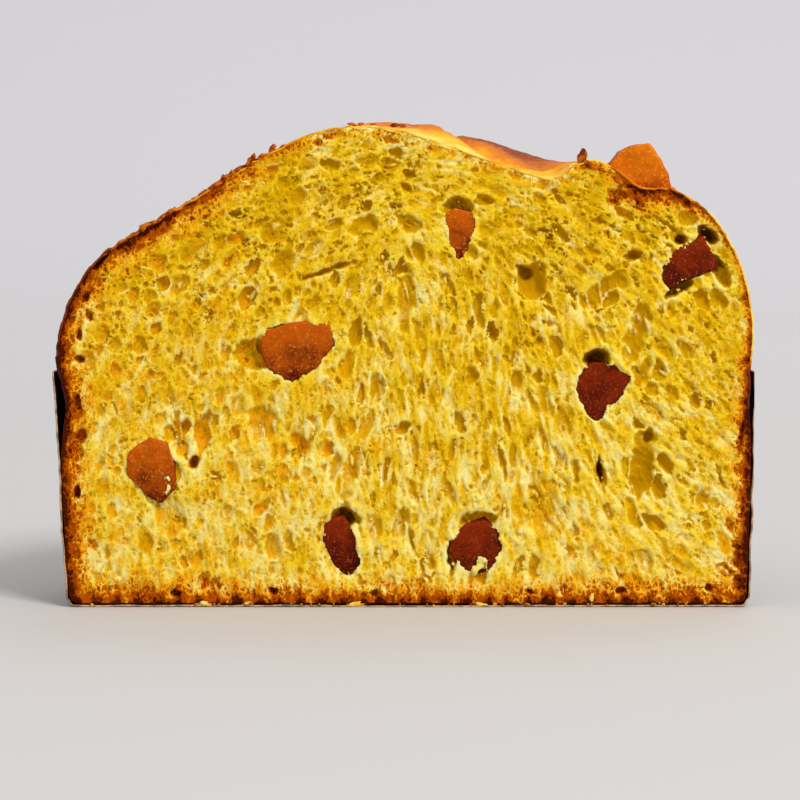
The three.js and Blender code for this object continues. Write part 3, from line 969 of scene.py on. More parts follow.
class CutFace:
    """The torn relief of the cut face: how far it lies behind the knife's plane, on a grid.

    BAKED gives the browned edge, as rows of direction in degrees, reach in millimetres and
    strength. TONGUES are shreds of crumb that lie over the edges of the fruit.
    """

    BAKED = (
        (-180, 5.3, 1.06), (-150, 5.1, 1.1), (-120, 4.2, 1.1), (-60, 4.3, 1.1), (-30, 5.1, 1.1),
        (0, 3.4, 1.1), (20, 1.8, 0.8), (32, 1.6, 0.75), (40, 3.3, 1.25), (47, 4.2, 1.4),
        (52, 3.2, 0.8), (56, 2.8, 0.5), (60, 2.6, 0.4), (72, 3.2, 0.34), (84, 3.0, 0.34),
        (98, 3.0, 0.38), (108, 3.8, 0.5), (120, 4.8, 0.72), (132, 5.2, 0.96), (145, 5.0, 1.14),
        (160, 5.0, 1.16), (180, 5.3, 1.06),
    )
    TONGUES = (
        Pore(19.5, 8.8, 2.6, 2.6, 0, 1.0), Pore(20.4, 11.6, 1.5, 2.4, -14, 1.0),
        Pore(-60.6, 30.4, 1.2, 2.2, -20, 1.0), Pore(-61.0, 33.4, 1.4, 0.7, 0, 1.0),
        Pore(-19.4, 59.6, 2.0, 1.0, 30, 1.0), Pore(17.4, 95.2, 1.0, 2.0, 10, 1.0),
    )
    PORE_SKIN = 0.25
    MIDDLE_HEIGHT = 45
    SHALLOW = 3.2
    FIBRES = ((1.2, 0.0), (3.0, 0.4), (6.0, 0.3))
    STRINGY_AT = (24, 44)
    STRINGY_SIZE = (52, 44)

    def __init__(self, foam: Foam) -> None:
        """Works out the relief.

        Args:
            foam: The block of crumb that the knife opened, still without its pores.
        """
        self.foam = foam
        for number, kind in enumerate(foam.KINDS):
            LOG.info("pores of kind %d: %d", number, foam.scatter(kind))
        solid = foam.walls()
        for pore in foam.SHOWN:
            foam.line(solid, pore, self.PORE_SKIN)
        seen = foam.look(solid)
        seen = np.minimum(seen, foam.blurred(seen, 0.9) + 1.2)
        level = foam.blurred(seen, 3.0)
        calm = 0.6 - 0.17 * smoothstep(100, 50, foam.grid_z)
        depth = level + calm * (0.7 * seen + 0.3 * foam.blurred(seen, 0.4) - level)
        for pore in foam.RIM_HOLES + foam.HOLLOWS:
            depth = np.maximum(depth, foam.bowl(pore) + 0.5 * (seen - level))
        fine, coarse, long = (foam.fibres(*size) for size in self.FIBRES)
        across = (foam.grid_x - self.STRINGY_AT[0]) / self.STRINGY_SIZE[0]
        up = (foam.grid_z - self.STRINGY_AT[1]) / self.STRINGY_SIZE[1]
        long *= 0.25 + 0.75 * np.exp(-(across**2) - up**2)
        shreds = smoothstep(0.9, 2.4, coarse) * smoothstep(0.4, 2.0, depth) * smoothstep(4.6, 2.6, depth)
        depth = depth * (1 - 0.6 * shreds) + 0.5 * shreds
        depth = np.maximum(depth + 0.09 * fine + 0.12 * coarse - 0.13 * long, 0.03)
        self.open_pockets(depth, np.maximum(0.5 + 0.6 * (seen - level) + 0.25 * fine, 0.05))
        angle = self.angle()
        under_dome = smoothstep(52, 64, angle) * smoothstep(114, 96, angle)
        # glow is painted light: crumb in a band just under the dome's edge is painted lighter.
        self.glow = under_dome * np.exp(-np.abs(foam.edge) / 3.6)
        rim = smoothstep(1.6, 0.3, foam.edge)
        self.depth = (depth * (1 - 0.7 * rim) + 0.25 * rim) * (1 - 0.4 * self.glow)
        shallow = np.minimum(self.depth, self.SHALLOW)
        self.local = foam.blurred(shallow, 2.2)
        self.near = foam.blurred(shallow, 0.8)
        self.fibre = 0.5 * fine + 0.7 * coarse + 0.5 * long
        self.baked = self.baking()

    def open_pockets(self, depth: Array, torn: Array) -> None:
        """Opens the relief in front of the fruit, with torn tongues of crumb left over its edges.

        Args:
            depth: The relief, which is changed.
            torn: The relief of the tongues.
        """
        foam = self.foam
        for fruit in OPEN_FRUITS:
            ragged = foam.noise(2.4, 30, 0.8) + foam.noise(1.0, 66, 0.5)
            pocket = self.inside_outline(fruit.outline()) + ragged > 0.55
            for tongue in self.TONGUES:
                covered = foam.bowl(tongue) > 0
                depth[covered & pocket] = torn[covered & pocket]
                pocket &= ~covered
            depth[pocket] = np.maximum(depth[pocket], fruit.front + fruit.depth + 0.5)

    def angle(self) -> Array:
        """Gives each grid point's direction round the face's middle, in degrees from +X."""
        return np.degrees(np.arctan2(self.foam.grid_z - self.MIDDLE_HEIGHT, self.foam.grid_x))

    def inside_outline(self, corners: Array) -> Array:
        """Measures how far each grid point lies inside an outline.

        Args:
            corners: The outline's corners, clockwise.

        Returns:
            The distance inside for each grid point, negative outside.
        """
        x, z = self.foam.grid_x, self.foam.grid_z
        away = np.full(x.shape, 1e9)
        crossings = np.zeros(x.shape, int)
        for (ax, az), (bx, bz) in zip(corners, np.roll(corners, -1, axis=0)):
            dx, dz = bx - ax, bz - az
            along = np.clip(((x - ax) * dx + (z - az) * dz) / (dx * dx + dz * dz), 0, 1)
            away = np.minimum(away, np.hypot(x - ax - along * dx, z - az - along * dz))
            spans = (az > z) != (bz > z)
            crossings += spans & (x < ax + (z - az) * dx / (dz if dz else 1e-9))
        return np.where(crossings % 2 == 1, away, -away)

    def sample(self, values: Array, x: Array, z: Array) -> Array:
        """Reads a field of the cut face between its grid points.

        Args:
            values: The field.
            x: Distances to the right of the axis.
            z: Heights.

        Returns:
            The field's value at each place.
        """
        foam = self.foam
        column = np.clip((x - foam.x[0]) / foam.STEP, 0, len(foam.x) - 1.001)
        row = np.clip((z - foam.z[0]) / foam.STEP, 0, len(foam.z) - 1.001)
        c, r = column.astype(int), row.astype(int)
        s, t = column - c, row - r
        low = values[r, c] * (1 - s) + values[r, c + 1] * s
        high = values[r + 1, c] * (1 - s) + values[r + 1, c + 1] * s
        return low * (1 - t) + high * t

    def baking(self) -> Array:
        """Works out how strongly each grid point is browned.

        Returns:
            Numbers from 0 in the crumb to 1 and more outside.
        """
        foam, angle = self.foam, self.angle()
        turns, reaches, strengths = np.array(self.BAKED).T
        ragged = foam.edge + foam.noise(3.4, 33, 1.3) + foam.noise(1.2, 36, 0.6)
        fade = np.exp(-((np.maximum(ragged, 0) / np.interp(angle, turns, reaches)) ** 1.3))
        outermost = 0.42 * smoothstep(2.4, 0.3, foam.edge + foam.noise(1.6, 63, 0.8))
        return (fade + outermost * (np.abs(angle - 80) > 45)) * np.interp(angle, turns, strengths)


@dataclass(frozen=True)
class Fruit:
    """A chunk of candied fruit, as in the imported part, in millimetres."""

    name: str
    slot: Slot
    at: tuple[float, float]
    front: float
    depth: float
    corners: tuple[tuple[float, float], ...]

    def outline(self, grow: float = 0.0) -> Array:
        """Gives the chunk's corners on the cut face, moved out by grow."""
        corners = np.array(self.corners, float)
        length = np.linalg.norm(corners, axis=1, keepdims=True)
        return corners * (length + grow) / length + self.at


FRUITS = (
    Fruit(
        "candied_left_high", Slot.AMBER, (-27.4, 67.3), 0.4, 14,
        (
            (-8.6, 6.3), (0.3, 7.8), (8.2, 7.2), (9.2, 1.4), (4.8, -4.2), (-2.1, -8.4), (-8.2, -5.2),
            (-9.9, 1),
        ),
    ),
    Fruit(
        "candied_left_low", Slot.AMBER, (-66.3, 36), 0.2, 12,
        (
            (-0.4, 8.6), (4.4, 7.2), (6.2, 2.2), (6.6, -4.6), (2.8, -9), (-2, -5.9), (-6.5, -1),
            (-5.8, 4.8),
        ),
    ),
    Fruit(
        "candied_base_left", Slot.BROWN, (-16.4, 15.9), 2.8, 11,
        (
            (-4.4, 6.8), (1, 7.9), (4.2, 2.2), (5.4, -4.3), (2.8, -8.6), (-1.2, -6.8), (-4, -0.8),
            (-5.6, 3.4),
        ),
    ),
    Fruit(
        "candied_base_middle", Slot.BROWN, (19.1, 15.4), 1.4, 12,
        (
            (-6.4, 2.8), (-3, 6.2), (2.2, 7.6), (5.4, 5.2), (7, 0), (4.7, -5.6), (-0.6, -7.4),
            (-5, -4.6), (-7.3, -0.6),
        ),
    ),
    Fruit(
        "candied_right_middle", Slot.BROWN, (51.7, 57.2), 2.2, 14,
        (
            (-7, 4), (-2.4, 7.3), (3.4, 6.5), (8.3, 3.5), (6.4, -1.7), (2.2, -5), (-0.5, -8.8),
            (-3.8, -7.2), (-6.6, -2.6),
        ),
    ),
    Fruit(
        "candied_right_high", Slot.BROWN, (74.1, 90.3), 0.8, 11,
        (
            (-7.5, -1.4), (-2, 4), (3.5, 7.4), (6.2, 3.4), (7.8, -1.2), (3, -3.2), (-1.4, -5),
            (-4.2, -7.4), (-6.5, -5.3),
        ),
    ),
    Fruit(
        "candied_top_middle", Slot.AMBER, (14.6, 98.1), 1.2, 8,
        (
            (-4.5, 4.6), (-1.2, 6.6), (2.6, 6), (4.6, 3.3), (3.4, -0.6), (2, -5.8), (-0.6, -7),
            (-3.2, -1.8),
        ),
    ),
    Fruit(
        "candied_crown", Slot.AMBER, (62.6, 113.6), 3.2, 15,
        (
            (-9.1, 2), (-6, 5.9), (-2.6, 7.2), (1.6, 7.5), (4.5, 3.6), (8.2, -5.2), (5.6, -9),
            (-1, -9.2), (-6, -4.8),
        ),
    ),
)
OPEN_FRUITS = FRUITS[:-1]


class Value:
    """One output of a shader graph, with arithmetic that adds Math nodes."""

    def __init__(self, graph: "Graph", socket: bpy.types.NodeSocket) -> None:
        """Wraps an output socket of a graph."""
        self.graph = graph
        self.socket = socket

    def _math(self, operation: str, first: "Value | float", second: "Value | float") -> "Value":
        """Adds a Math node that joins two numbers."""
        return self.graph.node("ShaderNodeMath", {"operation": operation}, {0: first, 1: second})

    def __add__(self, other: "Value | float") -> "Value":
        """Adds."""
        return self._math("ADD", self, other)

    def __radd__(self, other: float) -> "Value":
        """Adds."""
        return self._math("ADD", other, self)

    def __sub__(self, other: "Value | float") -> "Value":
        """Subtracts."""
        return self._math("SUBTRACT", self, other)

    def __rsub__(self, other: float) -> "Value":
        """Subtracts from a number."""
        return self._math("SUBTRACT", other, self)

    def __mul__(self, other: "Value | float") -> "Value":
        """Multiplies."""
        return self._math("MULTIPLY", self, other)

    def __rmul__(self, other: float) -> "Value":
        """Multiplies."""
        return self._math("MULTIPLY", other, self)

    def between(self, low: float, high: float) -> "Value":
        """Eases from 0 where this is low to 1 where it is high."""
        return self.graph.node(
            "ShaderNodeMapRange", {"interpolation_type": "SMOOTHSTEP"},
            {"Value": self, "From Min": low, "From Max": high},
        )


class Graph:
    """A material's shader graph, which every finish is written in."""

    def __init__(self, name: str) -> None:
        """Starts a material with nothing but its output.

        Args:
            name: The material's name.
        """
        self.material = bpy.data.materials.new(name)
        self.material.use_nodes = True
        self.tree = self.material.node_tree
        self.tree.nodes.clear()
        self.output = self.tree.nodes.new("ShaderNodeOutputMaterial")

    def node(
        self, kind: str, settings: dict[str, object] | None = None,
        inputs: dict[str | int, "Value | float | Sequence[float]"] | None = None, output: str | int = 0,
    ) -> Value:
        """Adds a node.

        Args:
            kind: The node's type.
            settings: Its properties, which are set first.
            inputs: A value or a link for each input, by name or number.
            output: Which output is wanted.

        Returns:
            The output.
        """
        made = self.tree.nodes.new(kind)
        for name, setting in (settings or {}).items():
            setattr(made, name, setting)
        for name, value in (inputs or {}).items():
            if isinstance(value, Value):
                self.tree.links.new(value.socket, made.inputs[name])
            else:
                made.inputs[name].default_value = value
        return Value(self, made.outputs[output])

    def place(self) -> Value:
        """Gives the Object coordinates."""
        return self.node("ShaderNodeTexCoord", output="Object")

    def attribute(self, name: str) -> Value:
        """Reads one number of each vertex."""
        return self.node("ShaderNodeAttribute", {"attribute_name": name}, output="Fac")

    def noise(self, size: float, detail: float = 2.0, stretch: Sequence[float] = (1, 1, 1)) -> Value:
        """Adds noise in space.

        Args:
            size: Size of its lumps, in metres.
            detail: How many finer layers it has.
            stretch: Factors on the coordinates.

        Returns:
            Numbers round 0.5.
        """
        spot = self.node("ShaderNodeMapping", inputs={"Vector": self.place(), "Scale": stretch})
        return self.node(
            "ShaderNodeTexNoise", {"noise_dimensions": "3D"},
            {"Vector": spot, "Scale": 1 / size, "Detail": detail, "Roughness": 0.6},
        )

    def mix(
        self, share: "Value | float", first: "Value | Colour", second: "Value | Colour",
    ) -> Value:
        """Mixes two colours.

        Args:
            share: How much of the second colour there is.
            first: The first colour.
            second: The second colour.

        Returns:
            The mixed colour.
        """
        inputs = {0: share, 6: first, 7: second}
        return self.node("ShaderNodeMix", {"data_type": "RGBA"}, inputs, output=2)

    def bump(
        self, height: Value, distance: float, strength: float, under: Value | None = None,
    ) -> Value:
        """Adds a bump.

        Args:
            height: Its height, as a share of distance.
            distance: The greatest height, in metres.
            strength: How strongly it shows.
            under: A bump that it lies on.

        Returns:
            The bumped normal.
        """
        inputs = {"Height": height, "Distance": distance, "Strength": strength}
        return self.node("ShaderNodeBump", None, inputs | ({"Normal": under} if under else {}))

    def finish(self, inputs: dict[str, "Value | float | Sequence[float]"]) -> bpy.types.Material:
        """Ends the graph in one Principled shader.

        Args:
            inputs: A value or link for each of the shader's inputs.

        Returns:
            The material.
        """
        shader = self.node("ShaderNodeBsdfPrincipled", {"subsurface_method": "RANDOM_WALK"}, inputs)
        self.tree.links.new(shader.socket, self.output.inputs["Surface"])
        return self.material


@dataclass(frozen=True)
class CrumbFinish:
    """The open golden crumb and its browned rim, with painted shade in its hollows and painted highlights
    on its ridges.
    """

    # cream is a painted highlight, and also the fibres' own pale colour.
    cream: Colour = display(255, 241, 160)
    yellow: Colour = display(253, 218, 58)
    gold: Colour = display(239, 191, 12)
    ochre: Colour = display(208, 156, 0)
    # deep and deepest_shade are painted shade, for crumb lying far behind the cut.
    deep: Colour = display(168, 112, 0)
    deepest_shade: Colour = display(92, 44, 0)
    toast: Colour = display(244, 168, 14)
    brown: Colour = display(180, 80, 0)
    dark: Colour = display(76, 22, 2)

    def build(self) -> bpy.types.Material:
        """Builds the material from the relief's attributes and noise.

        Returns:
            The material.
        """
        graph = Graph("crumb")
        relief_shading, ridge_highlight = graph.attribute("relief_shading"), graph.attribute("ridge_highlight")
        depth_shade, bake, fibre = graph.attribute("depth_shade"), graph.attribute("bake"), graph.attribute("fibre")
        glow = graph.attribute("glow")
        cloud = graph.noise(9 * MM, 4)
        speck = graph.noise(0.8 * MM, 3)
        place = graph.node("ShaderNodeSeparateXYZ", inputs={"Vector": graph.place()}, output="Z")
        up = place.between(0.01, 0.125)
        bubble = self.bubbles(graph)
        # Painted light and shade: relief_shading and bubble make proud crumb and small bubble walls
        # lighter and sunk crumb darker, and glow lightens the band under the dome; fibre, speck and cloud
        # are the crumb's own tone. The crumb also gets darker towards the top.
        height = relief_shading + fibre * 0.07 + (speck - 0.5) * 0.46 + (cloud - 0.5) * 0.5
        height = height + bubble * 0.15 - up * 0.18 + glow * 0.5
        body = graph.mix(height.between(0.15, 0.55), self.ochre, self.gold)
        top = graph.mix(height.between(0.4, 0.75), body, self.yellow)
        low = 1 - up
        # Painted highlight: cream goes on ridges, bubble walls and the band under the dome, and more
        # towards the bottom; where it follows the fibres it is their own pale colour.
        bright = ridge_highlight + fibre * 0.15 + (cloud - 0.5) * 0.9 + bubble * 0.14 + low * 0.22 + glow * 0.5
        lit = graph.mix(bright.between(0.6, 1.2) * 0.9, top, self.cream)
        # Painted shade: the further the crumb lies behind the cut, the more deep and deepest_shade darken
        # it.
        shallow = graph.mix(depth_shade.between(0.24, 0.66) * 0.7, lit, self.deep)
        holes = graph.mix(depth_shade.between(0.5, 0.95) * 0.85, shallow, self.deepest_shade)
        rim = bake.between(0.0, 0.25)
        # In the browned rim, hollows and bubble cells come out darker as painted shade; speck noise and
        # fibres vary the browning.
        uneven = bake + ((speck - 0.5) * 0.9 - fibre * 0.16 - (relief_shading - 0.5) * 0.6 - bubble * 0.4) * rim
        toasted = graph.mix(uneven.between(0.1, 0.4), holes, self.toast)
        browned = graph.mix(uneven.between(0.38, 0.7), toasted, self.brown)
        baked = graph.mix(uneven.between(0.84, 1.25), browned, self.dark)
        fine = graph.bump(graph.noise(0.4 * MM, 2), 0.26 * MM, 1.0)
        return graph.finish({
            "Base Color": baked, "Roughness": 0.75, "Specular IOR Level": 0.03,
            "Subsurface Weight": 0.28, "Subsurface Radius": (1.0, 0.72, 0.12),
            "Subsurface Scale": 1.0 * MM, "Normal": fine,
        })

    @staticmethod
    def bubbles(graph: Graph) -> Value:
        """Draws the walls of the smallest bubbles, in patches, as painted light and shade: walls lighter,
        cells darker.

        Args:
            graph: The crumb's graph.

        Returns:
            Numbers round 0, highest on a wall.
        """
        flat = graph.node("ShaderNodeMapping", inputs={"Vector": graph.place(), "Scale": (1, 1, 0.7)})
        wavy = {"Vector": flat, "Scale": 1 / (1.5 * MM)}
        swirl = graph.node("ShaderNodeTexNoise", None, wavy, output="Color")
        bend = {0: swirl, 1: (1.4 * MM,) * 3, 2: flat}
        bent = graph.node("ShaderNodeVectorMath", {"operation": "MULTIPLY_ADD"}, bend)
        cells = {"Vector": bent, "Scale": 1 / (1.25 * MM)}
        away = graph.node("ShaderNodeTexVoronoi", {"feature": "DISTANCE_TO_EDGE"}, cells)
        patches = graph.noise(4 * MM, 2).between(0.3, 0.6)
        return (0.6 - away.between(0.0, 0.24)) * patches


@dataclass(frozen=True)
class CrustFinish:
    """The egg-glossed skin of the dome, dark on the left shoulder and golden on the right."""

    cream: Colour = display(255, 219, 98)
    gold: Colour = display(252, 184, 22)
    orange: Colour = display(222, 120, 8)
    brown: Colour = display(140, 58, 8)
    dark: Colour = display(66, 22, 4)

    def build(self) -> bpy.types.Material:
        """Builds the material from the dome's attributes and noise.

        Returns:
            The material.
        """
        graph = Graph("crust")
        roast_and_shade = graph.attribute("roast_and_shade")
        mottle = graph.noise(6 * MM, 4)
        speck = graph.noise(1.1 * MM, 3)
        # roast_and_shade is the roast, with painted shade on the skin below the paper's rim.
        tone = roast_and_shade + (mottle - 0.5) * 0.28 + (speck - 0.5) * 0.26
        warm = graph.mix(tone.between(-0.05, 0.18), self.cream, self.gold)
        golden = graph.mix(tone.between(0.16, 0.42), warm, self.orange)
        browned = graph.mix(tone.between(0.42, 0.74), golden, self.brown)
        baked = graph.mix(tone.between(0.74, 1.1), browned, self.dark)
        wrinkles = graph.bump(graph.noise(1.6 * MM, 4), 0.4 * MM, 0.75)
        fine = graph.bump(graph.noise(0.4 * MM, 2), 0.14 * MM, 0.6, wrinkles)
        return graph.finish({
            "Base Color": baked, "Roughness": 0.5 + (speck - 0.5) * 0.3, "Specular IOR Level": 0.12,
            "Subsurface Weight": 0.12, "Subsurface Radius": (1.0, 0.45, 0.1),
            "Subsurface Scale": 1.0 * MM, "Normal": fine,
        })


@dataclass(frozen=True)
class PaperFinish:
    """The dark brown baking paper, pale where it was cut."""

    dark: Colour = display(40, 18, 12)
    lighter: Colour = display(66, 34, 22)
    cut: Colour = display(206, 162, 118)

    def build(self) -> bpy.types.Material:
        """Builds the material.

        Returns:
            The material.
        """
        graph = Graph("case_paper")
        fibre = graph.noise(1.4 * MM, 4)
        blotch = graph.noise(12 * MM, 3)
        paper = graph.mix(blotch.between(0.35, 0.7) * 0.7, self.dark, self.lighter)
        edge = graph.attribute("cut_edge")
        # The pale cut edge is broken up in patches by noise.
        patchy = 0.4 + 0.6 * graph.noise(2.5 * MM, 3).between(0.4, 0.6)
        colour = graph.mix(edge.between(0.4, 0.6) * patchy, paper, self.cut)
        pleats = graph.bump(graph.noise(7 * MM, 3, (1, 1, 0.18)), 1.2 * MM, 0.5)
        crepe = graph.bump(fibre, 0.12 * MM, 0.5, pleats)
        return graph.finish({
            "Base Color": colour, "Roughness": 0.5 + (fibre - 0.5) * 0.3, "Specular IOR Level": 0.4,
            "Normal": crepe,
        })


@dataclass(frozen=True)
class FruitFinish:
    """Sticky candied fruit, glassy at its skin and lit through at its edges, with painted shade towards
    its bottom and on its sides.
    """

    name: str
    light: Colour
    dark: Colour
    grain: Colour
    glow: float

    def build(self) -> bpy.types.Material:
        """Builds the material.

        Returns:
            The material.
        """
        graph = Graph(self.name)
        cloud = graph.noise(5 * MM, 3)
        speck = graph.noise(0.6 * MM, 2)
        low, side = graph.attribute("low"), graph.attribute("side")
        # Painted shade: low darkens the chunk towards its bottom and side on faces turned away from the
        # cut; cloud is the fruit's own tone.
        depth = (cloud - 0.5) * 1.3 + low * 0.75 + side * 0.4
        tone = graph.mix(depth.between(0.0, 0.95), self.light, self.dark)
        grains = graph.mix(speck.between(0.54, 0.72) * 0.7, tone, self.grain)
        pith = graph.bump(speck, 0.14 * MM, 0.6)
        skin = graph.bump(graph.noise(2.2 * MM, 3), 0.6 * MM, 0.6, pith)
        return graph.finish({
            "Base Color": grains, "Roughness": 0.45, "Specular IOR Level": 0.04,
            "Subsurface Weight": self.glow, "Subsurface Radius": (1.0, 0.3, 0.02),
            "Subsurface Scale": 2.4 * MM, "Coat Weight": 0.04 + speck.between(0.58, 0.72) * 0.6,
            "Coat Roughness": 0.2, "Normal": skin,
        })


@dataclass
class Crumb:
    """The loaf's inside, with the torn cut face in front."""

    loaf: Loaf
    face: CutFace
    most_triangles: int = 190_000
    around: int = 128
    dome_steps: int = 60
    inset: float = 0.4
    under_skin: float = 1.5
    block_depth: float = 110.0
    deepest: float = 10.0
    shade_depth: float = 2.4

    def knife_block(self) -> bpy.types.Object:
        """Makes a block of everything behind the cut, with the relief as its front.

        Returns:
            The block.
        """
        face, foam = self.face, self.face.foam
        width, height = foam.x[-1] - foam.x[0], foam.z[-1] - foam.z[0]
        middle = ((foam.x[0] + foam.x[-1]) / 2, 0.0, (foam.z[0] + foam.z[-1]) / 2)
        bm = bmesh.new()
        upright = Matrix.Translation(middle) @ Matrix.Rotation(math.pi / 2, 4, "X")
        bmesh.ops.create_grid(
            bm, x_segments=len(foam.x) - 1, y_segments=len(foam.z) - 1, size=0.5,
            matrix=upright @ Matrix.Diagonal((width, height, 1, 1)),
        )
        rim = [edge for edge in bm.edges if edge.is_boundary]
        grown = bmesh.ops.extrude_edge_only(bm, edges=rim)["geom"]
        behind = [item for item in grown if isinstance(item, bmesh.types.BMVert)]
        bmesh.ops.translate(bm, verts=behind, vec=(0, self.block_depth, 0))
        bmesh.ops.holes_fill(bm, edges=[edge for edge in bm.edges if edge.is_boundary], sides=0)
        bmesh.ops.recalc_face_normals(bm, faces=bm.faces)
        mesh = MeshWork.mesh_from(bm, "knife_block")
        points = MeshWork.points_of(mesh)
        front = points[:, 1] < 1
        points[front, 1] = face.sample(face.depth, points[front, 0], points[front, 2])
        MeshWork.move_points(mesh, Loaf.to_frame(points))
        return MeshWork.object_from(mesh, "knife_block")

    def build(self) -> None:
        """Cuts the loaf with the relief and dresses the result."""
        rows = range(len(self.loaf.outline(Side.BACK, self.dome_steps)))
        mesh = self.loaf.turned("crumb", rows, self.around, self.dome_steps, self.inset)
        Loaf.weld(mesh)
        self.sink(mesh)
        piece = MeshWork.object_from(mesh, "crumb")
        block = self.knife_block()
        cut = piece.modifiers.new("cut", "BOOLEAN")
        cut.operation, cut.solver, cut.object = "INTERSECT", "MANIFOLD", block
        MeshWork.bake_modifiers(piece)
        bpy.data.objects.remove(block)
        MeshWork.thin_out(piece, self.most_triangles)
        MeshWork.shade_smooth(piece.data)
        self.tint(piece.data)
        MeshWork.dress(piece, CrumbFinish().build())
        MeshWork.finish(piece, Slot.BREAD, ["bread"])

    def sink(self, mesh: bpy.types.Mesh) -> None:
        """Draws the dome in behind the cut, so that it stays under the skin.

        Args:
            mesh: The loaf's inside before it is cut, which is changed.
        """
        points = Loaf.from_frame(MeshWork.points_of(mesh))
        deep = self.under_skin * smoothstep(1, 7, points[:, 1]) * smoothstep(40, 56, points[:, 2])
        MeshWork.move_points(mesh, Loaf.to_frame(points - MeshWork.normals_of(mesh) * deep[:, None]))

    def tint(self, mesh: bpy.types.Mesh) -> None:
        """Writes the crumb's painted light and shade, from its relief, its depth and the dome's edge, and
        where it is browned.

        Args:
            mesh: The cut crumb.
        """
        face = self.face
        x, y, z = Loaf.from_frame(MeshWork.points_of(mesh)).T
        # Painted light and shade: crumb standing proud of its surroundings gets a higher relief_shading
        # and ridge_highlight and is painted lighter.
        for name, around in (("relief_shading", face.local), ("ridge_highlight", face.near)):
            proud = 0.5 + (face.sample(around, x, z) - y) / self.shade_depth
            MeshWork.set_attribute(mesh, name, np.clip(proud, 0, 1))
        MeshWork.set_attribute(mesh, "fibre", face.sample(face.fibre, x, z))
        # Painted light: glow lightens the crumb under the dome's edge.
        MeshWork.set_attribute(mesh, "glow", face.sample(face.glow, x, z))
        # Painted shade: depth_shade grows with the depth behind the cut.
        MeshWork.set_attribute(mesh, "depth_shade", np.clip(y / self.deepest, 0, 1))
        behind = smoothstep(8, 20, y)
        MeshWork.set_attribute(mesh, "bake", np.maximum(face.sample(face.baked, x, z), behind))


@dataclass
class Crust:
    """The baked skin over the dome, torn along the cut.

    SHOWN_ROAST gives how darkly its front edge is roasted, as rows of x and darkness.
    """

    loaf: Loaf
    seed: int
    thickness: float = 0.5
    around: int = 560
    dome_steps: int = 150
    hidden: float = 50.0
    most_triangles: int = 190_000

    SHOWN_ROAST = (
        (-92, 1.0), (-84, 0.85), (-76, 0.6), (-64, 0.38), (-40, 0.28), (-22, 0.14), (-6, 0.02),
        (40, -0.02), (48, 0.1), (54, 0.3), (60, 0.5), (70, 0.46), (78, 0.04), (90, 0.0),
    )

    def build(self) -> None:
        """Builds the skin and dresses it."""
        drawn = self.loaf.outline(Side.BACK, self.dome_steps)
        first = int(np.argmax(drawn[:, 1] > self.hidden))
        mesh = self.loaf.turned("crust", range(first, len(drawn)), self.around, self.dome_steps, 0.0)
        Loaf.weld(mesh)
        bm = bmesh.new()
        bm.from_mesh(mesh)
        bmesh.ops.bisect_plane(
            bm, geom=[*bm.verts, *bm.edges, *bm.faces], plane_co=(0, CUT_Y, 0), plane_no=(0, -1, 0),
            clear_outer=True, dist=1e-7,
        )
        bm.to_mesh(mesh)
        bm.free()
        self.wrinkle(mesh)
        piece = MeshWork.object_from(mesh, "crust")
        wall = piece.modifiers.new("wall", "SOLIDIFY")
        wall.thickness, wall.offset, wall.use_rim = self.thickness * MM, -1, True
        MeshWork.bake_modifiers(piece)
        MeshWork.thin_out(piece, self.most_triangles)
        MeshWork.shade_smooth(piece.data)
        self.tint(piece.data)
        MeshWork.dress(piece, CrustFinish().build())
        MeshWork.finish(piece, Slot.BREAD, ["bread"])

    def wrinkle(self, mesh: bpy.types.Mesh) -> None:
        """Sculpts the skin: fine wrinkles, pocks, a flaking left slope and a frayed front edge.

        Args:
            mesh: The skin's outer face, which is changed.
        """
        grain = Grain(self.seed)
        points, normals = Loaf.from_frame(MeshWork.points_of(mesh)), MeshWork.normals_of(mesh)
        x, y = points[:, 0], points[:, 1]
        stretched = 1 - smoothstep(4, 12, self.loaf.scar_distance(x, y))
        wrinkles = grain.layered(points * (1, 1, 1.6), 5.0, 4) * (0.3 - 0.14 * stretched)
        pocks = -0.5 * smoothstep(0.45, 0.8, grain.at(points, 2.6))
        lifted = (wrinkles + pocks - 0.25) * smoothstep(0.0, 6.0, y)
        slope = smoothstep(-84, -74, x) * smoothstep(-22, -34, x)
        flaking = 0.7 * slope * np.exp(-y / 9) * np.maximum(grain.layered(points, 2.0, 3) - 0.2, -0.5)
        points += normals * (lifted + flaking)[:, None]
        edge = y < 0.6
        frayed = 0.5 * np.maximum(grain.layered(points[edge] + 50, 1.8, 3), -0.3)
        points[edge] -= normals[edge] * frayed[:, None]
        points[edge, 1] += np.maximum(0.1, 0.5 + 0.7 * grain.layered(points[edge], 2.0, 2))
        MeshWork.move_points(mesh, Loaf.to_frame(points))

    def tint(self, mesh: bpy.types.Mesh) -> None:
        """Writes how darkly each part of the skin is roasted, and darkens the skin below the paper's rim
        as painted shade.

        Args:
            mesh: The skin.
        """
        points = Loaf.from_frame(MeshWork.points_of(mesh))
        x, y, z = points.T
        grain = Grain(self.seed + 1)
        shown = np.interp(x, *np.array(self.SHOWN_ROAST).T)
        crown = smoothstep(85, 118, z)
        scar = 1 - smoothstep(3, 10, self.loaf.scar_distance(x, y))
        dome = 0.62 + 0.2 * crown - 0.42 * scar * crown + 0.09 * grain.layered(points, 12.0, 3)
        near = np.exp(-((np.maximum(y - 4, 0) / 16) ** 2))
        patches = 0.3 * smoothstep(0.0, 0.7, grain.at(points, 9.0)) * smoothstep(12, 30, y)
        streaks = 0.16 * grain.layered(points * (0.35, 1, 1), 3.0, 3) + 0.2 * smoothstep(5, 12, y)
        # Painted shade: the skin below the paper's rim, in the gap between loaf and paper, is darkened.
        hidden = 0.9 * smoothstep(67, 61, z)
        roast_and_shade = (shown + streaks) * near + dome * (1 - near) + patches * near + hidden
        roast_and_shade += 0.08 * grain.layered(points, 22.0, 3) * (1 - near)
        MeshWork.set_attribute(mesh, "roast_and_shade", np.clip(roast_and_shade, -0.2, 1.2))


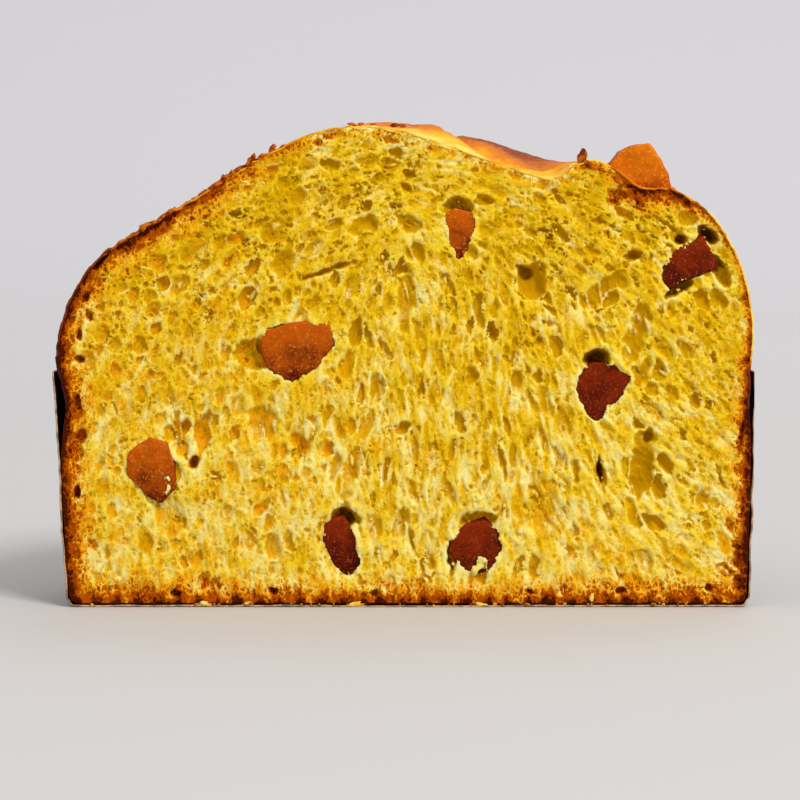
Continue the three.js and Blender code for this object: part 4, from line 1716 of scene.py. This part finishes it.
@dataclass
class PaperCase:
    """The paper cup that the loaf was baked in, cut with it."""

    loaf: Loaf
    seed: int
    thickness: float = 0.42
    around: int = 260
    stand_off: float = 0.35
    front_reach: float = 26.0
    rows: int = 90

    def build(self) -> None:
        """Builds the cup and dresses it."""
        loaf = self.loaf
        floor = [(radius, 0.0) for radius in np.linspace(0.02, loaf.base_radius - loaf.corner, 30)]
        turn = np.linspace(-math.pi / 2, 0, 12)[1:-1]
        bend = loaf.corner - 0.4
        centre = loaf.wall_radius(0) - loaf.corner
        corner = [(centre + bend * math.cos(a), bend + bend * math.sin(a)) for a in turn]
        wall = [(loaf.wall_radius(h), h) for h in np.linspace(loaf.corner, loaf.case_height, self.rows)]
        bm = bmesh.new()
        corners = [bm.verts.new((radius, 0.0, height)) for radius, height in floor + corner + wall]
        edges = [bm.edges.new(pair) for pair in zip(corners, corners[1:])]
        bmesh.ops.spin(
            bm, geom=[*corners, *edges], cent=(0, 0, 0), axis=(0, 0, 1), angle=math.pi, steps=self.around,
        )
        bmesh.ops.remove_doubles(bm, verts=bm.verts, dist=1e-4)
        bmesh.ops.recalc_face_normals(bm, faces=bm.faces)
        mesh = MeshWork.mesh_from(bm, "paper_case_skin")
        self.crease(mesh)
        piece = MeshWork.object_from(mesh, "paper_case_skin")
        sheet = piece.modifiers.new("sheet", "SOLIDIFY")
        sheet.thickness, sheet.offset, sheet.use_rim = self.thickness * MM, -1, True
        MeshWork.bake_modifiers(piece)
        MeshWork.shade_smooth(piece.data)
        self.mark_edge(piece.data)
        MeshWork.dress(piece, PaperFinish().build())
        MeshWork.finish(piece, Slot.PAPER, ["paper_case"])

    def crease(self, mesh: bpy.types.Mesh) -> None:
        """Creases the wall and lets it stand off the loaf beside the cut.

        Args:
            mesh: The cup's outer face, which is changed.
        """
        grain = Grain(self.seed)
        points = MeshWork.points_of(mesh)
        x, y, z = points.T
        angle, radius = np.arctan2(y, x), np.hypot(x, y)
        up = z / self.loaf.case_height
        flutes = 0.35 * np.sin(angle * 23 + 1.1)
        bow = 0.5 * np.sin(angle * 5 + 4 * up) + 0.35 * np.sin(9 * up + 2 * angle)
        wave = np.maximum(flutes + bow, 0) * smoothstep(0.04, 0.3, up)
        wall = smoothstep(self.loaf.base_radius - self.loaf.corner, self.loaf.base_radius - 1, radius)
        crinkle = 0.14 * grain.layered(points, 5.0, 4) + 0.05 * grain.at(points, 1.2)
        front = np.exp(-((y / self.front_reach) ** 2))
        beside = self.stand_off + 0.22 * grain.at(points, 7.0) + 0.16 * grain.at(points + 40, 2.6)
        stand = (1 - front) * np.minimum(wave - 0.1, 0.85) + front * beside * smoothstep(0.0, 0.06, up)
        moved = radius + wall * (stand + crinkle)
        across = moved * np.cos(angle)
        points[:, 0] = across + self.loaf.foot(across, z) * 1.1 * front
        ragged = np.maximum(0, 0.3 + 0.3 * grain.at(points, 2.4))
        points[:, 1] = moved * np.sin(angle) + (y < 0.01) * ragged
        points[:, 2] += (1 - wall) * np.maximum(0.0, 0.12 + 0.12 * grain.at(points, 3.0)) * (radius > 20)
        MeshWork.move_points(mesh, Loaf.to_frame(points))

    def mark_edge(self, mesh: bpy.types.Mesh) -> None:
        """Writes where the paper was cut.

        Args:
            mesh: The cup.
        """
        _, y, z = Loaf.from_frame(MeshWork.points_of(mesh)).T
        front, top = 1 - smoothstep(0.6, 0.9, y), smoothstep(-0.25, -0.05, z - self.loaf.case_height)
        MeshWork.set_attribute(mesh, "cut_edge", np.maximum(front, top))


@dataclass
class CandiedChunk:
    """One chunk of candied fruit."""

    fruit: Fruit
    seed: int
    edge: float = 0.8
    voxel: float = 0.45

    def build(self, finish: bpy.types.Material) -> None:
        """Builds the chunk and dresses it.

        Args:
            finish: Its material.
        """
        fruit = self.fruit
        bm = bmesh.new()
        corners = [bm.verts.new((x, fruit.front, z)) for x, z in fruit.outline(0.5)]
        front = bm.faces.new(corners)
        grown = bmesh.ops.extrude_face_region(bm, geom=[front])["geom"]
        behind = [item for item in grown if isinstance(item, bmesh.types.BMVert)]
        bmesh.ops.translate(bm, verts=behind, vec=(0, fruit.depth, 0))
        bmesh.ops.recalc_face_normals(bm, faces=bm.faces)
        bmesh.ops.bevel(
            bm, geom=list(bm.edges), offset=self.edge, affect="EDGES", segments=3, profile=0.5,
            material=-1,
        )
        mesh = MeshWork.mesh_from(bm, fruit.name + "_chunk")
        MeshWork.move_points(mesh, Loaf.to_frame(MeshWork.points_of(mesh)))
        piece = MeshWork.object_from(mesh, fruit.name + "_chunk")
        remesh = piece.modifiers.new("even", "REMESH")
        remesh.mode, remesh.voxel_size = "VOXEL", self.voxel * MM
        relax = piece.modifiers.new("relax", "SMOOTH")
        relax.factor, relax.iterations = 0.5, 3
        MeshWork.bake_modifiers(piece)
        self.shrivel(piece.data)
        MeshWork.shade_smooth(piece.data)
        MeshWork.dress(piece, finish)
        MeshWork.finish(piece, fruit.slot, [fruit.name])

    def shrivel(self, mesh: bpy.types.Mesh) -> None:
        """Dents the chunk as sugar-soaked fruit dries, least where the knife cut it.

        Args:
            mesh: The chunk, which is changed.
        """
        grain = Grain(self.seed)
        points, normals = Loaf.from_frame(MeshWork.points_of(mesh)), MeshWork.normals_of(mesh)
        facing = np.clip(-normals[:, 1], 0, 1)
        hollows = 0.5 * (grain.layered(points, 5.5, 3) - 0.9) * (1 - 0.3 * facing)
        dents = hollows + 0.16 * grain.at(points, 1.4)
        points += normals * dents[:, None]
        points[:, 1] = np.maximum(points[:, 1], 0.05)
        MeshWork.move_points(mesh, Loaf.to_frame(points))
        # Painted shade: low is darker towards the chunk's bottom, side on faces turned away from the cut.
        low = np.clip(0.5 - (points[:, 2] - self.fruit.at[1]) / 16, 0, 1)
        MeshWork.set_attribute(mesh, "low", low)
        MeshWork.set_attribute(mesh, "side", 1 - facing)


class Copies:
    """Many small copies of one shape, each bent by a function of its own, joined in one mesh."""

    def __init__(self, template: bmesh.types.BMesh) -> None:
        """Reads the shape that is copied.

        Args:
            template: The shape, which is freed.
        """
        bmesh.ops.triangulate(template, faces=template.faces)
        template.verts.ensure_lookup_table()
        self.points = np.array([tuple(v.co) for v in template.verts])
        self.faces = np.array([[v.index for v in face.verts] for face in template.faces])
        template.free()
        self.placed: list[Array] = []

    def add(self, points: Array) -> None:
        """Adds a copy whose points, in millimetres, are given."""
        self.placed.append(points)

    def join(self, name: str, material: bpy.types.Material) -> bpy.types.Object:
        """Joins the copies.

        Args:
            name: The piece's name.
            material: Its material.

        Returns:
            The piece.
        """
        mesh = bpy.data.meshes.new(name)
        starts = np.arange(len(self.placed))[:, None, None] * len(self.points)
        faces = (self.faces[None] + starts).reshape(-1, 3)
        mesh.from_pydata(Loaf.to_frame(np.vstack(self.placed)).tolist(), [], faces.tolist())
        mesh.materials.append(material)
        MeshWork.shade_smooth(mesh)
        return MeshWork.object_from(mesh, name)


@dataclass(frozen=True)
class BitFinish:
    """Loose bits of crumb or crust in one plain colour that varies a little."""

    name: str
    light: Colour
    dark: Colour

    def build(self) -> bpy.types.Material:
        """Builds the material.

        Returns:
            The material.
        """
        graph = Graph(self.name)
        tone = graph.mix(graph.noise(2.2 * MM, 2).between(0.35, 0.65), self.light, self.dark)
        return graph.finish({
            "Base Color": tone, "Roughness": 0.8, "Specular IOR Level": 0.08,
            "Subsurface Weight": 0.3, "Subsurface Radius": (1.0, 0.66, 0.1), "Subsurface Scale": 0.5 * MM,
        })


@dataclass(frozen=True)
class Chip:
    """A flake or crumb of crust, in millimetres and degrees: its middle, half sizes and turns."""

    at: tuple[float, float, float]
    half: tuple[float, float, float]
    turn: tuple[float, float, float]


@dataclass
class LooseBits:
    """What the knife tore loose: shreds and crumbs on the cut face, flakes of crust round it.

    CHIPS are flakes on the crust's edge, LUMPS are lumps of crumb along the foot, and FOOT_HEAPS
    gives the middle, spread and number of the crumbs in each heap at the foot.
    """

    loaf: Loaf
    face: CutFace
    seed: int
    shreds: int = 800
    crumbs: int = 220
    flakes: int = 56

    CHIPS = (
        Chip((-39.6, 0.8, 117.0), (1.7, 0.5, 0.9), (10, -48, 20)),
        Chip((-42.6, 0.9, 114.8), (2.2, 0.6, 0.6), (0, -30, -10)),
        Chip((-34.2, 0.7, 120.0), (0.7, 0.4, 1.5), (0, 24, 0)),
        Chip((-49.0, 0.7, 110.8), (2.6, 0.5, 0.4), (0, -34, 8)),
        Chip((-62.0, 0.8, 103.0), (2.2, 0.5, 0.4), (0, -32, 0)),
        Chip((-13.5, 2.0, 126.3), (1.2, 1.0, 0.45), (0, 6, 10)),
        Chip((-11.2, 1.6, 126.4), (0.8, 0.8, 0.4), (10, -12, 0)),
        Chip((-2.4, 2.2, 126.2), (1.5, 1.0, 0.5), (0, -8, 0)),
        Chip((-0.3, 1.8, 126.0), (0.9, 0.8, 0.5), (0, 14, 30)),
        Chip((-8.0, 3.0, 126.3), (0.6, 0.6, 0.3), (0, 0, 0)),
        Chip((46.2, 0.9, 117.6), (1.0, 0.4, 2.2), (6, 8, 0)),
        Chip((48.4, 0.8, 115.6), (2.4, 0.6, 1.0), (0, 28, 10)),
        Chip((51.2, 0.9, 114.6), (2.0, 0.6, 0.8), (0, 22, 0)),
        Chip((55.6, 0.7, 111.8), (1.8, 0.5, 0.7), (0, 34, -8)),
    )
    FOOT_HEAPS = ((-52, 2.4, 9), (-41, 1.4, 5), (16, 9, 16))
    LUMPS = (
        Chip((49.4, 0.9, 1.9), (0.5, 0.4, 1.9), (0, 4, 0)),
        Chip((-52.0, 0.9, 0.9), (1.6, 0.6, 0.5), (0, 10, 0)),
        Chip((-41.4, 0.9, 0.8), (1.2, 0.6, 0.5), (0, -14, 0)),
        Chip((19.8, 0.9, 0.7), (2.0, 0.6, 0.45), (0, 6, 0)),
        Chip((-12.0, 0.9, 0.8), (2.4, 0.6, 0.6), (0, -8, 0)),
    )

    def shred(self, rng: np.random.Generator, tube: Array, x: float, z: float) -> Array:
        """Bends a tube into a torn fibre that lies over the relief.

        Args:
            rng: Source of the random numbers.
            tube: The tube's points, with its length along z from 0 to 1.
            x: Where the fibre's middle lies to the right of the axis.
            z: Height of the fibre's middle.

        Returns:
            The bent tube's points.
        """
        length, thick = rng.uniform(0.8, 2.8), rng.uniform(0.06, 0.14)
        heading = math.radians(float(Foam.lean(x, z)) + rng.normal(0, 34))
        bend, along = rng.normal(0, 1.1), tube[:, 2] - 0.5
        path_x = x + length * (along * math.sin(heading) + bend * along**2 * math.cos(heading))
        path_z = z + length * (along * math.cos(heading) - bend * along**2 * math.sin(heading))
        rest = self.face.sample(self.face.near, path_x, path_z)
        taper = thick * (1 - 0.8 * np.abs(2 * along) ** 3)
        return np.column_stack([
            path_x + tube[:, 0] * taper,
            np.maximum(rest - 0.1 - 0.25 * rng.uniform() + tube[:, 1] * taper, 0.0),
            path_z,
        ])

    def build_shreds(self, rng: np.random.Generator, finish: bpy.types.Material) -> None:
        """Builds the torn fibres.

        Args:
            rng: Source of the random numbers.
            finish: Their material.
        """
        bm = bmesh.new()
        bmesh.ops.create_cone(
            bm, cap_ends=True, segments=4, radius1=1, radius2=1, depth=1,
            matrix=Matrix.Translation((0, 0, 0.5)),
        )
        upright = [edge for edge in bm.edges if abs(edge.verts[0].co.z - edge.verts[1].co.z) > 0.5]
        bmesh.ops.subdivide_edges(bm, edges=upright, cuts=6)
        copies = Copies(bm)
        foam = self.face.foam
        while len(copies.placed) < self.shreds:
            x, z = rng.uniform(-88, 88), rng.uniform(3, 124)
            row, column = int((z - foam.z[0]) / foam.STEP), int((x - foam.x[0]) / foam.STEP)
            if foam.edge[row, column] > 3.5 and self.face.depth[row, column] < 2.2:
                copies.add(self.shred(rng, copies.points, x, z))
        MeshWork.finish(copies.join("torn_fibres", finish), Slot.BREAD)

    def build_crumbs(self, rng: np.random.Generator, finish: bpy.types.Material) -> None:
        """Builds the crumbs that cling to the cut face.

        Args:
            rng: Source of the random numbers.
            finish: Their material.
        """
        bm = bmesh.new()
        bmesh.ops.create_icosphere(bm, subdivisions=2, radius=1)
        copies = Copies(bm)
        grain = Grain(self.seed)
        for _ in range(self.crumbs):
            x, z, size = rng.uniform(-84, 84), rng.uniform(6, 116), rng.uniform(0.15, 0.4)
            if self.face.sample(self.face.foam.edge, np.array([x]), np.array([z]))[0] > 4:
                self.add_crumb(copies, grain, rng, (x, z), size)
        MeshWork.finish(copies.join("loose_crumbs", finish), Slot.BREAD)

    def add_crumb(
        self, copies: Copies, grain: Grain, rng: np.random.Generator, at: tuple[float, float],
        size: float,
    ) -> None:
        """Adds a crumb that lies on the relief.

        Args:
            copies: The crumbs so far.
            grain: Noise that breaks its shape.
            rng: Source of the random numbers.
            at: Its place on the cut face.
            size: Its half size.
        """
        x, z = at
        rest = float(self.face.sample(self.face.near, np.array([x]), np.array([z]))[0])
        offset = 9.0 * len(copies.placed)
        shape = copies.points * (1 + 0.6 * grain.layered(copies.points + offset, 0.8, 2))[:, None]
        scaled = shape * rng.uniform(0.5, 1.5, 3) * size
        copies.add(scaled + (x, max(rest - 0.05, size * 0.7), max(z, size * 0.6)))

    def build_foot(self, rng: np.random.Generator, finish: bpy.types.Material) -> None:
        """Builds the browned crumbs and pale scraps that hang along the loaf's foot.

        Args:
            rng: Source of the random numbers.
            finish: Their material.
        """
        bm = bmesh.new()
        bmesh.ops.create_icosphere(bm, subdivisions=2, radius=1)
        copies = Copies(bm)
        grain = Grain(self.seed + 2)
        spread = rng.uniform(-84, 86, 26)
        heaps = [rng.normal(*heap) for heap in self.FOOT_HEAPS]
        for x in np.concatenate([spread, *heaps]):
            self.add_crumb(copies, grain, rng, (x, rng.uniform(0.2, 1.2)), rng.uniform(0.2, 0.55))
        MeshWork.finish(copies.join("foot_crumbs", finish), Slot.BREAD)

    def slope_flakes(self, rng: np.random.Generator) -> list[Chip]:
        """Draws small flakes that stand off the left slope's torn crust.

        Args:
            rng: Source of the random numbers.

        Returns:
            The flakes.
        """
        outline = self.loaf.section()
        slope = outline[(outline[:, 0] < -24) & (outline[:, 1] > 80)]
        slope = slope[np.argsort(slope[:, 0])]
        flakes = []
        for x in rng.uniform(-80, -30, self.flakes):
            z = float(np.interp(x, slope[:, 0], slope[:, 1]))
            half = (rng.uniform(0.5, 1.6), rng.uniform(0.3, 0.6), rng.uniform(0.2, 0.45))
            turn = (rng.normal(0, 14), rng.normal(-36, 16), rng.normal(0, 14))
            flakes.append(Chip((x, rng.uniform(0.5, 1.6), z - rng.uniform(-0.2, 0.9)), half, turn))
        return flakes

    def build_chips(self, name: str, chips: Sequence[Chip], finish: bpy.types.Material) -> None:
        """Builds flakes or lumps.

        Args:
            name: The piece's name.
            chips: The flakes.
            finish: Their material.
        """
        bm = bmesh.new()
        bmesh.ops.create_icosphere(bm, subdivisions=3, radius=1)
        copies = Copies(bm)
        grain = Grain(self.seed + 1)
        for number, chip in enumerate(chips):
            about = [Matrix.Rotation(math.radians(v), 3, axis) for v, axis in zip(chip.turn, "XYZ")]
            turn = about[2] @ about[1] @ about[0]
            rough = 1 + 0.4 * grain.layered(copies.points + 5 * number, 0.9, 3)
            rough += 0.22 * grain.at(copies.points + 9 * number, 0.28)
            shape = copies.points * rough[:, None] * chip.half
            copies.add(shape @ np.array(turn).T + chip.at)
        MeshWork.finish(copies.join(name, finish), Slot.BREAD)

    def build(self) -> None:
        """Builds all the loose bits."""
        rng = np.random.default_rng(self.seed)
        pale = BitFinish("loose_crumb", display(250, 224, 110), display(236, 186, 40)).build()
        crisp = BitFinish("loose_crust", display(204, 100, 12), display(112, 42, 6)).build()
        self.build_shreds(rng, pale)
        self.build_crumbs(rng, pale)
        toasted = BitFinish("toasted_crumb", display(222, 168, 84), display(150, 78, 14)).build()
        self.build_foot(rng, toasted)
        self.build_chips("crust_chips", self.CHIPS, crisp)
        brittle = BitFinish("brittle_crust", display(214, 112, 8), display(110, 40, 4)).build()
        self.build_chips("slope_flakes", self.slope_flakes(rng), brittle)
        self.build_chips("crumb_lumps", self.LUMPS, pale)


@dataclass(frozen=True)
class Camera:
    """The photograph's viewpoint. One of its 800 pixels is 0.261 mm in the cut plane."""

    distance: float = 0.8
    elevation: float = 4.5
    across: float = 0.2089
    aim: tuple[float, float] = (-0.001, 0.0546)
    sensor: float = 0.036

    def build(self) -> None:
        """Adds the camera and makes it the scene's."""
        data = bpy.data.cameras.new("camera")
        data.sensor_width = self.sensor / MM
        data.lens = data.sensor_width * self.distance / self.across
        camera = bpy.data.objects.new("camera", data)
        bpy.context.scene.collection.objects.link(camera)
        tilt = math.radians(self.elevation)
        aim = Vector((self.aim[0], CUT_Y, self.aim[1]))
        back = Vector((0, -math.cos(tilt), math.sin(tilt)))
        camera.location = aim + back * self.distance
        camera.rotation_euler = (-back).to_track_quat("-Z", "Y").to_euler()
        data.clip_start, data.clip_end = 0.01, 20
        bpy.context.scene.camera = camera


@dataclass(frozen=True)
class Studio:
    """A seamless pale backdrop, a soft light from the upper right and an even sky."""

    floor: Colour = display(206, 203, 201)
    wall: Colour = display(231, 229, 230)
    sky: Colour = display(250, 250, 253)
    sky_strength: float = 0.62
    key_watts: float = 52.0
    fill_watts: float = 6.0
    reach: float = 3.0
    bend: float = 1.6
    aim: tuple[float, float, float] = (0.0, 0.0, 0.06)

    def backdrop(self) -> None:
        """Builds the floor that curves up into the background."""
        bm = bmesh.new()
        bmesh.ops.create_grid(bm, x_segments=1, y_segments=1, size=self.reach)
        far = [edge for edge in bm.edges if all(v.co.y > 0 for v in edge.verts)]
        grown = bmesh.ops.extrude_edge_only(bm, edges=far)["geom"]
        risen = [item for item in grown if isinstance(item, bmesh.types.BMVert)]
        bmesh.ops.translate(bm, verts=risen, vec=(0, 0, 2 * self.reach))
        bmesh.ops.bevel(
            bm, geom=far, offset=self.bend, affect="EDGES", segments=24, profile=0.5, material=-1,
        )
        bmesh.ops.recalc_face_normals(bm, faces=bm.faces)
        mesh = MeshWork.mesh_from(bm, "backdrop")
        MeshWork.shade_smooth(mesh)
        piece = MeshWork.object_from(mesh, "backdrop")
        graph = Graph("backdrop")
        depth = graph.node("ShaderNodeSeparateXYZ", inputs={"Vector": graph.place()}, output="Y")
        tone = graph.mix(depth.between(-0.1, 2.2), self.floor, self.wall)
        paint = graph.finish({"Base Color": tone, "Roughness": 0.9, "Specular IOR Level": 0.1})
        mesh.materials.append(paint)

    def light(self, name: str, place: Sequence[float], size: float, watts: float) -> None:
        """Adds a square soft light that faces the loaf.

        Args:
            name: Its name.
            place: Where it stands, in metres.
            size: Its side, in metres.
            watts: Its power.
        """
        data = bpy.data.lights.new(name, "AREA")
        data.size, data.energy = size, watts
        lamp = bpy.data.objects.new(name, data)
        bpy.context.scene.collection.objects.link(lamp)
        lamp.location = place
        towards = Vector(self.aim) - Vector(place)
        lamp.rotation_euler = towards.to_track_quat("-Z", "Y").to_euler()

    def build(self) -> None:
        """Sets up backdrop, lights and even sky."""
        self.backdrop()
        self.light("key", (1.2, -1.7, 2.1), 0.9, self.key_watts)
        self.light("back", (0.4, 1.1, 1.9), 1.0, self.fill_watts)
        world = bpy.data.worlds.new("sky")
        world.use_nodes = True
        sky = world.node_tree.nodes["Background"]
        sky.inputs["Color"].default_value = self.sky
        sky.inputs["Strength"].default_value = self.sky_strength
        bpy.context.scene.world = world
        bpy.context.scene.view_settings.view_transform = "Standard"


def main() -> None:
    """Builds the dressed part and its studio."""
    logging.basicConfig(level=logging.INFO, format="%(name)s %(message)s")
    Camera().build()
    Studio().build()
    loaf = Loaf()
    face = CutFace(Foam(loaf, seed=20417))
    Crumb(loaf, face).build()
    Crust(loaf, seed=31).build()
    PaperCase(loaf, seed=47).build()
    amber = FruitFinish(
        "candied_amber", display(196, 90, 0), display(96, 14, 0), display(226, 136, 14), 0.4,
    ).build()
    brown = FruitFinish(
        "candied_brown", display(134, 38, 0), display(50, 3, 0), display(170, 74, 6), 0.3,
    ).build()
    crown = FruitFinish(
        "candied_crown", display(226, 122, 2), display(156, 52, 0), display(246, 170, 50), 0.5,
    ).build()
    for number, fruit in enumerate(FRUITS):
        finish = brown if fruit.slot is Slot.BROWN else amber
        CandiedChunk(fruit, seed=60 + number).build(crown if fruit is FRUITS[-1] else finish)
    LooseBits(loaf, face, seed=91).build()


if __name__ == "__main__":
    main()
